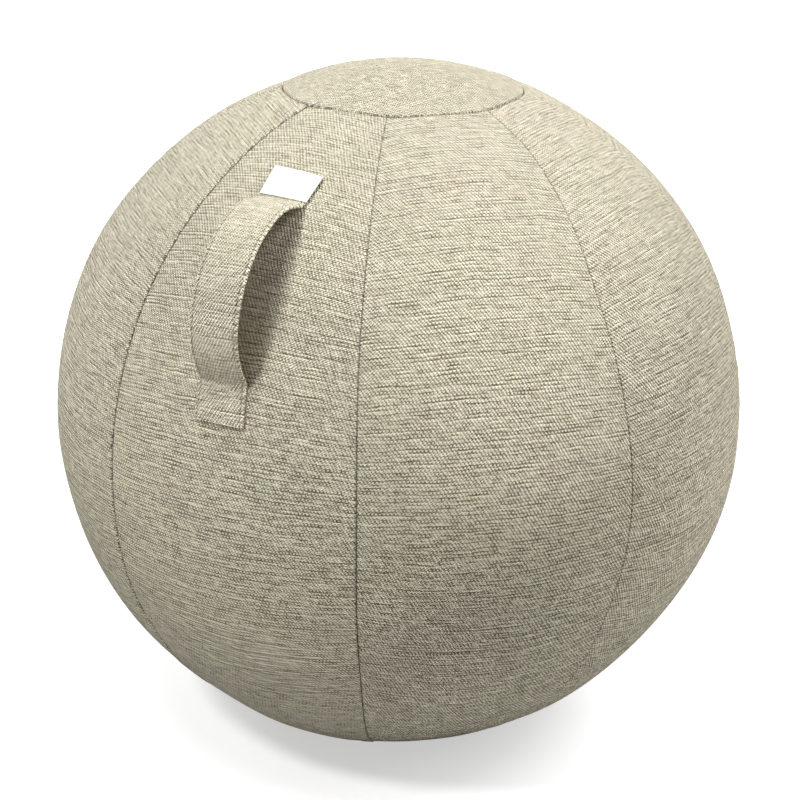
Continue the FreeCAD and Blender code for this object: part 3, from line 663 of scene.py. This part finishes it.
def gore(index, material):
    """One gore of the cover, with rolled seam edges and the ridge of its seam allowance."""
    name = f"cover_panel_{index + 1}"
    centre = PANEL_STEP * index
    top = 90 - CAP_POLAR
    low = FOOT_POLAR - 90 + math.degrees(FOOT_GAP / RADIUS)
    span = math.radians(top - low) * RADIUS
    heights = across_steps(np.array([span]), GORE_ROWS)[0]
    base_latitude = low + np.degrees(heights / RADIUS)
    left = seam_longitude(index - 1, base_latitude)
    right = seam_longitude(index, base_latitude)
    girth = RADIUS * np.cos(np.radians(base_latitude))
    gaps, looseness = [], []
    for seam in (index - 1, index):
        pull = np.interp(base_latitude, PULL_LATITUDES, SEAM_PULL.get(seam % PANELS, USUAL_PULL))
        gap = SEAM_GAP * (0.35 + 0.65 * pull)
        if seam % PANELS == ZIP_SEAM:
            open_part = smooth_step(ZIP_LOW - ZIP_TAIL_DEG, ZIP_LOW - 0.5, base_latitude)
            open_part *= 1 - smooth_step(ZIP_HIGH + 0.5, ZIP_HIGH + ZIP_TAIL_DEG, base_latitude)
            gap += (ZIP_GAP - gap) * open_part
        gaps.append(gap)
        looseness.append(LOOSE_FOLD * (1 - pull)[:, None])
    left = left + np.degrees(gaps[0] / girth)
    right = right - np.degrees(gaps[1] / girth)
    width = girth * np.radians(right - left)
    steps = across_steps(width, GORE_COLUMNS)
    longitude = left[:, None] + np.degrees(steps / girth[:, None])
    # The top edge follows the cap's outline
    lift = (CAP_POLAR - rim_polar(longitude)) * smooth_step(0.75, 1.0, heights / span)[:, None]
    latitude = base_latitude[:, None] + lift - math.degrees(SEAM_GAP / RADIUS) * (heights / span)[:, None]
    unit = directions(longitude, latitude)
    from_left, from_right = steps, width[:, None] - steps
    side = np.minimum(from_left, from_right)
    from_top, from_foot = (span - heights)[:, None], heights[:, None]
    zip_left = (gaps[0] > 2 * SEAM_GAP)[:, None]
    zip_right = (gaps[1] > 2 * SEAM_GAP)[:, None]
    relief = undulation(unit)
    relief += edge_drop(from_left, TUCKED_RADIUS) + edge_drop(from_top, TUCKED_RADIUS)
    relief += edge_drop(from_right) * (1.0 - 0.6 * looseness[1] / LOOSE_FOLD)
    relief += edge_rise(from_right, 1.0 - 0.7 * looseness[1] / LOOSE_FOLD)
    relief -= PINCH_DEPTH * np.exp(-((side / PINCH_WIDTH) ** 2)) * ~(zip_left | zip_right)
    relief -= PINCH_DEPTH * np.exp(-((from_top / PINCH_WIDTH) ** 2))
    pulls = np.sin(heights / (2.9 * MM) + 2.1 * index) + np.sin(heights / (4.7 * MM) + 0.7 * index)
    relief += PUCKER * pulls[:, None] * np.exp(-side / (9 * MM)) * (side > 0.1 * MM)
    relief *= smooth_step(0, 12 * MM, from_foot) * 0.85 + 0.15
    outer = from_centre(unit, RADIUS + relief)
    inner = from_centre(unit, RADIUS + relief - CLOTH)
    across, _, out = ball_frame(centre, 0)
    u = RADIUS * np.arcsin(np.clip(unit @ across, -1, 1))
    v = RADIUS * np.arctan2(unit[..., 2], unit @ out)
    start = index * 0.37
    along = heights[:, None] + 0 * steps
    round_top = RADIUS * math.sin(math.radians(CAP_POLAR)) * np.radians(longitude)
    tucked = np.minimum(from_left + looseness[0], from_top + 0.5 * LOOSE_FOLD)
    tucked_run = np.where(from_left < from_top, along, round_top)
    raised = np.where(zip_right, SEAM_REACH, from_right + looseness[1])
    tucked = np.where(zip_left & (from_left < from_top), SEAM_REACH, tucked)
    seam = seam_map(raised, along, tucked, tucked_run)
    piece = slab(f"gore_{index + 1}", outer, inner, material, np.stack([u, v + start], -1), seam)
    settle(piece, "cover_cloth", name)


def cap(material):
    """The round top piece, a little crowned, with its edge rolled into the seam."""
    longitude = np.arange(CAP_COLUMNS) * 360 / CAP_COLUMNS
    rim = RADIUS * np.radians(rim_polar(longitude)) - SEAM_GAP
    share = np.linspace(0, 1, CAP_ROWS)[1:]
    steps = np.concatenate([
        NEAR_EDGE[:, None] * np.ones(CAP_COLUMNS),
        NEAR_EDGE[-1] + (rim - NEAR_EDGE[-1])[None, :] * share[:, None],
    ])
    away = rim[None, :] - steps
    polar = away / RADIUS
    unit = directions(longitude[None, :] * np.ones_like(polar), 90 - np.degrees(polar))
    relief = undulation(unit) + edge_drop(steps) + edge_rise(steps, 1.0)
    crown = CAP_CROWN * (1 - (away / rim[None, :]) ** 2)
    relief += crown - PINCH_DEPTH * np.exp(-((steps / PINCH_WIDTH) ** 2))
    turn = math.radians(CAP_WEAVE_TURN)
    lon = np.radians(longitude)[None, :]
    x, y = away * np.sin(lon), -away * np.cos(lon)
    u, v = x * math.cos(turn) + y * math.sin(turn), -x * math.sin(turn) + y * math.cos(turn)
    no_edge = np.full_like(steps, SEAM_REACH)
    seam = seam_map(steps + 0.5 * LOOSE_FOLD, rim[None, :] * lon, no_edge, 0 * steps)
    piece = slab(
        "cap", from_centre(unit, RADIUS + relief), from_centre(unit, RADIUS + relief - CLOTH),
        material, np.stack([u, v], -1), seam, wrap=True, pole=True,
    )
    settle(piece, "cover_cloth", "top_cap")


def lathe_sheet(name, lower, upper, material, columns=180):
    """A closed turned sheet between two profiles of (distance from the axis, height) points."""
    longitude = np.radians(np.arange(columns) * 360 / columns)

    def spin(profile):
        profile = np.asarray(profile, float)
        r, z = profile[:, 0][:, None], profile[:, 1][:, None]
        return np.stack([r * np.sin(longitude), -r * np.cos(longitude), z + 0 * longitude[None, :]], -1)

    outer, inner = spin(lower), spin(upper)
    uv = outer[..., :2].copy()
    return slab(name, outer, inner, material, uv, wrap=True)


def foot(material):
    """The flat foot, with a softly rolled edge and its allowance turned up inside the gores."""
    roll, sheet = 1.5 * MM, 1.1 * MM
    edge = FOOT_RADIUS - CLOTH - 0.6 * MM
    radii = np.linspace(0.5 * MM, edge - roll, 24)
    bend = np.radians(np.linspace(10, 90 - FOOT_POLAR, 6))
    climb = math.radians(FOOT_POLAR)

    def profile(height):
        inside = roll - height
        points = [(r, height) for r in radii]
        points += [(edge - roll + inside * math.sin(a), roll - inside * math.cos(a)) for a in bend]
        last = points[-1]
        for rise in (3 * MM, 6 * MM):
            points.append((last[0] + rise * math.sin(climb), last[1] + rise * math.cos(climb)))
        return points

    piece = lathe_sheet("foot", profile(0.0), profile(sheet), material)
    settle(piece, "foot_cloth", "base_panel")


def strap_line(lift, side):
    """Half the strap's line from its crown to where it lies on the ball.

    Each row is a point (along the chord, out from the ball's centre) and the face's lean there.
    """
    crown_radius, turn, shoulder_radius, flank, crease = STRAP_CURVES[side]
    turn, flank = math.radians(turn), math.radians(flank)
    crown_centre = np.array([0.0, ARCH_TOP - crown_radius])
    shift = crown_radius - shoulder_radius
    shoulder_centre = crown_centre + shift * np.array([math.sin(turn), math.cos(turn)])

    def face(angle):
        return np.array([math.sin(angle), math.cos(angle)])

    crown, shoulder = crown_radius + lift, shoulder_radius + lift
    rows = [(crown_centre + crown * face(a), a) for a in np.linspace(0, turn, 22)]
    rows += [(shoulder_centre + shoulder * face(a), a) for a in np.linspace(turn, flank, 12)[1:]]
    start = rows[-1][0]
    tangent = np.array([math.cos(flank), -math.sin(flank)])
    root, seat = crease - lift, RADIUS + TAB_GAP + lift
    offset = start + root * face(flank)
    b, c = offset @ tangent, offset @ offset - (seat + root) ** 2
    centre = offset + (-b - math.sqrt(b * b - c)) * tangent
    end = centre - root * face(flank)
    rows += [(start + (end - start) * t, flank) for t in np.linspace(0, 1, 8)[1:]]
    landing = math.atan2(centre[0], centre[1])
    rows += [(centre - root * face(a), a) for a in np.linspace(flank, landing, 12)[1:]]
    return rows, landing, seat


def strap_section():
    """The strap's cloth, folded in from both sides so that its raw edges meet underneath.

    Each row is (across, height from the middle, outward x, outward height, distance from a hem's groove).
    """
    middle = (STRAP_THICK - STRAP_LAYER) / 2
    straight = HANDLE_HALF - STRAP_THICK / 2
    rows = [(x, -middle, 0.0, -1.0, SEAM_REACH) for x in np.linspace(STRAP_SLIT, straight, 9)]
    for a in np.linspace(0, math.pi, 9)[1:-1]:
        out, up = math.sin(a), -math.cos(a)
        rows.append((straight + middle * out, middle * up, out, up, HEM_GROOVE + middle * (math.pi - a)))
    near_hem = np.linspace(straight, straight - 4 * MM, 11)
    for x in np.concatenate([near_hem, np.linspace(straight - 5 * MM, 0, 9)]):
        rows.append((x, middle + hem_relief(straight - x), 0.0, 1.0, abs(straight - x - HEM_GROOVE)))
    rows += [(-x, z, -nx, nz, away) for x, z, nx, nz, away in rows[-2::-1]]
    rows = np.array(rows)
    steps = np.hypot(np.diff(rows[:, 0]), np.diff(rows[:, 1]))
    return rows, np.concatenate([[0], np.cumsum(steps)])


def hem_relief(inward):
    """The stitched hem along each edge: a raised roll, then the groove that its stitches pull in."""
    roll = 0.25 * MM * math.exp(-(((inward - 0.1 * HEM_WIDTH) / (0.4 * HEM_WIDTH)) ** 2))
    groove = 0.5 * MM * math.exp(-(((inward - HEM_GROOVE) / (0.5 * MM)) ** 2))
    return roll - groove


def half_strap(name, side, tab_end, nodes, material):
    """Half the strap, which stays sewn at its end and reaches the grip at the crown."""
    section, run = strap_section()
    _, up, out = ball_frame(0, HANDLE_LATITUDE)
    across = np.array([1.0, 0.0, 0.0])
    centre = np.array([0, 0, CENTRE_Z])
    lines, landing, seat = strap_line(STRAP_THICK / 2, side)
    lines = [(place, lean, 0.0) for place, lean in lines]
    end = tab_end / RADIUS
    for share in np.linspace(0, 1, 16)[1:]:
        a = landing + (end - landing) * share
        lines.append((seat * np.array([math.sin(a), math.cos(a)]), a, share))
    outer, inner, maps, seams = [], [], [], []
    length, previous = 0.0, lines[0][0]
    groove = TUCKED_FROM - np.minimum(0.85 * MM + 1.6 * section[:, 4], SEAM_REACH)
    for place, lean, share in lines:
        length += float(np.linalg.norm(place - previous))
        previous = place
        at = centre + up * place[0] * side + out * place[1]
        normal = up * math.sin(lean) * side + out * math.cos(lean)
        cup = -section[:, 0] ** 2 / (2 * RADIUS)
        flare = 1 + TAB_FLARE * share * (side < 0)
        aside = section[:, 0] * flare + TAB_DRIFT[side] * share
        base = at + aside[:, None] * across + (section[:, 1] + cup)[:, None] * normal
        away = section[:, 2:3] * across + section[:, 3:4] * normal
        outer.append(base + away * STRAP_LAYER / 2)
        inner.append(base - away * STRAP_LAYER / 2)
        weave_run = run * FLOAT_LENGTH / STRAP_FLOAT_LENGTH
        maps.append(np.stack([weave_run, np.full_like(run, side * length)], -1))
        seams.append(np.stack([groove, np.full_like(run, length)], -1))
    piece = slab(
        name, np.array(outer), np.array(inner), material, np.array(maps), np.array(seams),
        flip_check=True, angle=60,
    )
    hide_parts(*nodes)
    foot_place = strap_line(0, side)[0][-1][0]
    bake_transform(piece)


def label(material):
    """The bare woven label over the strap's upper sewn end, sewn a little askew."""
    columns, rows = np.linspace(0, 1, 18)[None, :], np.linspace(0, 1, 14)[:, None]
    foot_line = [(1 - columns) * LABEL_FOOT[0][i] + columns * LABEL_FOOT[1][i] for i in (0, 1)]
    head_line = [(1 - columns) * LABEL_HEAD[0][i] + columns * LABEL_HEAD[1][i] for i in (0, 1)]
    x, s = ((1 - rows) * foot_line[i] + rows * head_line[i] for i in (0, 1))
    seat = RADIUS + TAB_GAP + STRAP_THICK + LABEL_LIFT
    edge = np.abs(2 * columns - 1) ** 8
    curl = LABEL_CURL * edge * np.abs(2 * rows - 1) ** 4 - LABEL_DROP * edge
    _, up, out = ball_frame(0, HANDLE_LATITUDE)
    turn = (s / RADIUS)[..., None]
    normal = np.cos(turn) * out + np.sin(turn) * up

    def at(radius):
        depth = np.sqrt((radius + curl) ** 2 - x**2)
        return np.array([0, 0, CENTRE_Z]) + normal * depth[..., None] + np.array([1.0, 0, 0]) * x[..., None]

    piece = slab("label", at(seat + LABEL_THICK), at(seat), material, np.stack([x, s], -1))
    settle(piece, "label_cloth", "handle_label")


def zip_point(latitude, x, radius):
    """Points beside the zip's meridian: x is the offset from its plane."""
    across, _, _ = ball_frame(ZIP_LONGITUDE, 0)
    latitude, x = np.broadcast_arrays(np.asarray(latitude, float), np.asarray(x, float))
    out = directions(np.full_like(latitude, ZIP_LONGITUDE), latitude)
    depth = np.sqrt(np.asarray(radius) ** 2 - x**2)
    return np.array([0, 0, CENTRE_Z]) + out * depth[..., None] + across * x[..., None]


def zip_tape(side, material):
    """One woven tape, with a thicker cord along the coil."""
    latitude = np.linspace(ZIP_LOW - ZIP_TAIL_DEG, ZIP_HIGH + ZIP_TAIL_DEG, 220)
    x = (TAPE_ACROSS * side)[::side]
    lat, off = latitude[:, None] + 0 * x[None, :], x[None, :] + 0 * latitude[:, None]
    wave = 0.05 * MM * np.sin(lat * 9)
    outer = zip_point(lat, off, TAPE_INNER + TAPE_THICK + wave)
    inner = zip_point(lat, off, TAPE_INNER + wave)
    uv = np.stack([off, np.radians(lat) * RADIUS], -1)
    word = "left" if side < 0 else "right"
    piece = slab(f"zip_tape_{word}", outer, inner, material, uv)
    settle(piece, "zip_tape", f"zipper_tape_{word}")


def zip_coil(side, material):
    """One side of the chain: a nylon wire wound in a flat coil, sewn along the tape's edge."""
    length = math.radians(ZIP_HIGH - ZIP_LOW) * RADIUS
    turns = int(length / COIL_PITCH)
    angle = np.linspace(0, turns * 2 * math.pi, turns * 12 + 1)
    latitude = ZIP_LOW + (ZIP_HIGH - ZIP_LOW) * angle / angle[-1]
    x = side * (COIL_ACROSS[0] + COIL_ACROSS[1] * np.cos(angle)) * MM
    radius = TAPE_INNER + TAPE_THICK + (COIL_UP[0] + COIL_UP[1] * np.sin(angle)) * MM
    word = "left" if side < 0 else "right"
    piece = sweep(f"zip_coil_{word}", [zip_point(latitude, x, radius)], COIL_WIRE, material)
    settle(piece, "zip_coil", f"zipper_chain_{word}")


def stitch_row(latitude, offset, pitch, length, height):
    """Paths of stitches along the zip at an offset from its meridian."""
    step = math.degrees(pitch / RADIUS)
    half = math.degrees(length / RADIUS) / 2
    paths = []
    for start in np.arange(latitude[0], latitude[1], step):
        along = start + np.array([-half, -half * 0.6, 0, half * 0.6, half])
        rise = np.array([-0.5, 0.15, 0.3, 0.15, -0.5]) * MM
        paths.append(zip_point(along, np.full(5, offset), RADIUS + height + rise))
    return paths


def zip_topstitching(material):
    """A row of stitches on the cloth along each side of the zip."""
    paths = []
    for side in (-1, 1):
        offset = side * (ZIP_GAP + 2.6 * MM)
        paths += stitch_row((ZIP_LOW, ZIP_HIGH), offset, 3.6 * MM, 2.9 * MM, 0.25 * MM)
    piece = sweep("zip_topstitching", paths, 0.26 * MM, material, sides=5)
    settle(piece, "cover_cloth")


def seam_threads(material):
    """The thread that shows deep in each seam, one stitch at a time."""
    paths = []
    for seam in range(PANELS):
        for latitude in np.arange(-68, 69, math.degrees(THREAD_PITCH / RADIUS)):
            if seam == ZIP_SEAM and ZIP_LOW - ZIP_TAIL_DEG < latitude < ZIP_HIGH + ZIP_TAIL_DEG:
                continue
            reach = math.degrees(THREAD_REACH / (RADIUS * math.cos(math.radians(latitude))))
            lon = seam_longitude(seam, latitude) + reach * THREAD_ALONG
            lat = latitude + math.degrees(THREAD_SLOPE / RADIUS) * THREAD_ALONG
            paths.append(from_centre(directions(lon, lat), RADIUS - THREAD_DEPTH))
    rim_radius = RADIUS * math.sin(math.radians(CAP_POLAR))
    for longitude in np.arange(0, 360, math.degrees(THREAD_PITCH / rim_radius)):
        polar = float(rim_polar(longitude)) + math.degrees(THREAD_REACH / RADIUS) * THREAD_ALONG
        lon = longitude + 0.12 * THREAD_ALONG
        paths.append(from_centre(directions(lon, 90 - polar), RADIUS - THREAD_DEPTH))
    piece = sweep("seam_threads", paths, THREAD_RADIUS, material, sides=5)
    settle(piece, "cover_cloth")


def bladder(material):
    """The inflated ball inside, with moulded rings, flat on the foot and pressed over its ring."""
    low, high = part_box("inner_ball")
    radius = high.z - CENTRE_Z - SEAM_ROOM
    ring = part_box("base_ring")[1]
    polar = np.radians(np.concatenate([np.linspace(0.05, 60, 60), np.linspace(60, 152, 70)[1:]]))
    away = (np.degrees(polar)[:, None] - BLADDER_GROOVES) / GROOVE_WIDTH_DEG
    wall = radius - GROOVE_DEPTH * np.exp(-(away**2)).sum(1)
    profile = [(w * math.sin(p), CENTRE_Z + w * math.cos(p)) for w, p in zip(wall, polar)]
    last = profile[-1]
    tent = (ring.x - 16 * MM, ring.z + 6 * MM)
    toe = (ring.x - 34 * MM, low.z)
    for here, there in ((last, tent), (tent, toe)):
        for share in np.linspace(0, 1, 6)[1:]:
            profile.append(tuple(h + (t - h) * share for h, t in zip(here, there)))
    profile += [(toe[0] * (1 - share), low.z) for share in np.linspace(0, 0.99, 8)[1:]]
    outer = np.array(profile)
    step = np.gradient(outer, axis=0)
    normal = np.stack([-step[:, 1], step[:, 0]], 1)
    normal /= np.linalg.norm(normal, axis=1)[:, None]
    inner = outer - normal * BLADDER_WALL
    piece = lathe_sheet("bladder", outer[::-1], inner[::-1], material, columns=144)
    settle(piece, "ball_vinyl", "inner_ball")


def dress_cad_node(name, material, bevel):
    """A carried-over solid gets its finish, and softened edges where it is cast or moulded."""
    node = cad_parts[name]
    node.data.materials.clear()
    node.data.materials.append(material)
    if bevel:
        soft = node.modifiers.new("edges", "BEVEL")
        soft.width = bevel
        soft.segments = 2
        soft.limit_method = "ANGLE"
        soft.angle_limit = math.radians(40)


def view_direction(azimuth, elevation):
    """From the ball towards an eye or a lamp, in degrees."""
    return Vector(directions(azimuth, elevation).tolist())


def area_light(name, azimuth, elevation, distance, size, watts, color):
    """A soft box that faces the ball."""
    data = bpy.data.lights.new(name, "AREA")
    data.shape = "DISK"
    data.size = size
    data.energy = watts
    data.color = color
    lamp = bpy.data.objects.new(name, data)
    back = view_direction(azimuth, elevation)
    lamp.location = Vector((0, 0, CENTRE_Z)) + back * distance
    lamp.rotation_mode = "QUATERNION"
    lamp.rotation_quaternion = back.to_track_quat("Z", "Y")
    bpy.context.scene.collection.objects.link(lamp)


def seen_by_eye(tree):
    """1 for rays from the camera or through shine and glass, and 0 for those that light the object."""
    rays = tree.nodes.new("ShaderNodeLightPath").outputs
    seen = rays["Is Camera Ray"]
    for kind in ("Is Glossy Ray", "Is Transmission Ray"):
        either = tree.nodes.new("ShaderNodeMath")
        either.operation = "MAXIMUM"
        tree.links.new(seen, either.inputs[0])
        tree.links.new(rays[kind], either.inputs[1])
        seen = either.outputs[0]
    return seen


def studio():
    """A plain pale floor, a white background and soft lamps from above and both sides."""
    world = bpy.data.worlds.new("studio")
    bpy.context.scene.world = world
    world.use_nodes = True
    tree = world.node_tree
    background = tree.nodes["Background"]
    level = tree.nodes.new("ShaderNodeMapRange")
    tree.links.new(seen_by_eye(tree), level.inputs[0])
    level.inputs[3].default_value = WORLD_LIGHT
    level.inputs[4].default_value = 1.0
    tree.links.new(level.outputs[0], background.inputs["Strength"])
    background.inputs["Color"].default_value = (1, 1, 1, 1)

    floor_mesh = bpy.data.meshes.new("floor")
    corners = [(x * FLOOR_REACH, y * FLOOR_REACH, FLOOR_Z) for x, y in ((-1, -1), (1, -1), (1, 1), (-1, 1))]
    floor_mesh.from_pydata(corners, [], [(0, 1, 2, 3)])
    floor = bpy.data.objects.new("floor", floor_mesh)
    bpy.context.scene.collection.objects.link(floor)
    g = Graph("floor")
    away = g.node("ShaderNodeVectorMath", {"operation": "LENGTH"}, Vector=g.place()).outputs["Value"]
    glow = g.ramp(away, FLOOR_NEAR, FLOOR_FAR, FLOOR_GLOW_NEAR, FLOOR_GLOW_FAR)
    g.feed(g.shader.inputs["Emission Strength"], g.times(seen_by_eye(g.tree), glow))
    floor_mesh.materials.append(g.finish(
        (FLOOR_WHITE, FLOOR_WHITE, FLOOR_WHITE, 1),
        Roughness=1.0, Specular_IOR_Level=0.0, Emission_Color=(1, 1, 1, 1),
    ))

    for lamp in LAMPS:
        area_light(*lamp)


def camera():
    """The photograph's view."""
    azimuth, roll = math.radians(VIEW_AZIMUTH), math.radians(VIEW_ROLL)
    back = view_direction(VIEW_AZIMUTH, VIEW_ELEVATION)
    level = Vector((math.cos(azimuth), math.sin(azimuth), 0))
    upright = back.cross(level)
    right = level * math.cos(roll) + upright * math.sin(roll)
    up = upright * math.cos(roll) - level * math.sin(roll)
    data = bpy.data.cameras.new("camera")
    data.sensor_width = SENSOR
    data.lens = FOCAL_PIXELS / IMAGE_SIZE * SENSOR
    data.shift_x = (IMAGE_SIZE / 2 - BALL_PIXEL[0]) / IMAGE_SIZE
    data.shift_y = (BALL_PIXEL[1] - IMAGE_SIZE / 2) / IMAGE_SIZE
    data.clip_start, data.clip_end = 0.05, 60.0
    made = bpy.data.objects.new("camera", data)
    place = Vector((0, 0, CENTRE_Z)) + back * VIEW_DISTANCE
    turn = Matrix((right, up, back)).transposed().to_4x4()
    made.matrix_world = Matrix.Translation(place) @ turn
    bpy.context.scene.collection.objects.link(made)
    bpy.context.scene.camera = made


def main():
    camera()
    bpy.context.scene.view_settings.view_transform = "Standard"
    cloth = cover_cloth("cover_cloth", 0.68)
    strap_cloth = cover_cloth("strap_cloth", 0.76, 0.8)
    thread = thread_material("seam_thread", srgb(132, 124, 100), srgb(96, 89, 68))
    bladder(plastic("ball_vinyl", srgb(108, 110, 112), srgb(126, 128, 129), 0.45))
    for index in range(PANELS):
        gore(index, cloth)
    cap(cover_cloth("cap_cloth", 0.65, 0.35))
    foot(coated_cloth())
    half_strap("strap_lower", -1, LOWER_TAB_END, ["handle_end_lower", "handle_grip"], strap_cloth)
    half_strap("strap_upper", 1, UPPER_TAB_END, ["handle_end_upper", "handle_grip"], strap_cloth)
    label(fine_cloth("label_cloth", srgb(222, 222, 220), srgb(200, 200, 196), 0.5 * MM, depth=0.05 * MM))
    seam_threads(thread)
    zip_thread = thread_material("topstitch_thread", srgb(196, 188, 164), srgb(150, 142, 118))
    zip_topstitching(zip_thread)
    tape = fine_cloth("zip_tape", srgb(150, 141, 118), srgb(104, 96, 78), 0.6 * MM)
    coil = plastic("zip_coil", srgb(140, 131, 108), srgb(116, 108, 88), 0.35, 300.0)
    for side in (-1, 1):
        zip_tape(side, tape)
        zip_coil(side, coil)
    metal = enamelled_metal()
    white = plastic("valve_plastic", srgb(232, 232, 228), srgb(220, 220, 214), 0.4)
    for names, material, bevel in (
        (("zipper_slider", "zipper_pull"), metal, 0.25 * MM),
        (("zipper_stop_lower", "zipper_stops_upper"), metal, 0.2 * MM),
        (("valve_boss", "valve_plug"), white, 0.3 * MM),
        (("base_ring",), plastic("ring_hose", srgb(40, 40, 40), srgb(58, 58, 58), 0.55), None),
        (("ring_sleeve",), fine_cloth("ring_strip", srgb(150, 143, 128), srgb(118, 112, 98), 0.7 * MM), None),
    ):
        for name in names:
            dress_cad_node(name, material, bevel)
    studio()


main()
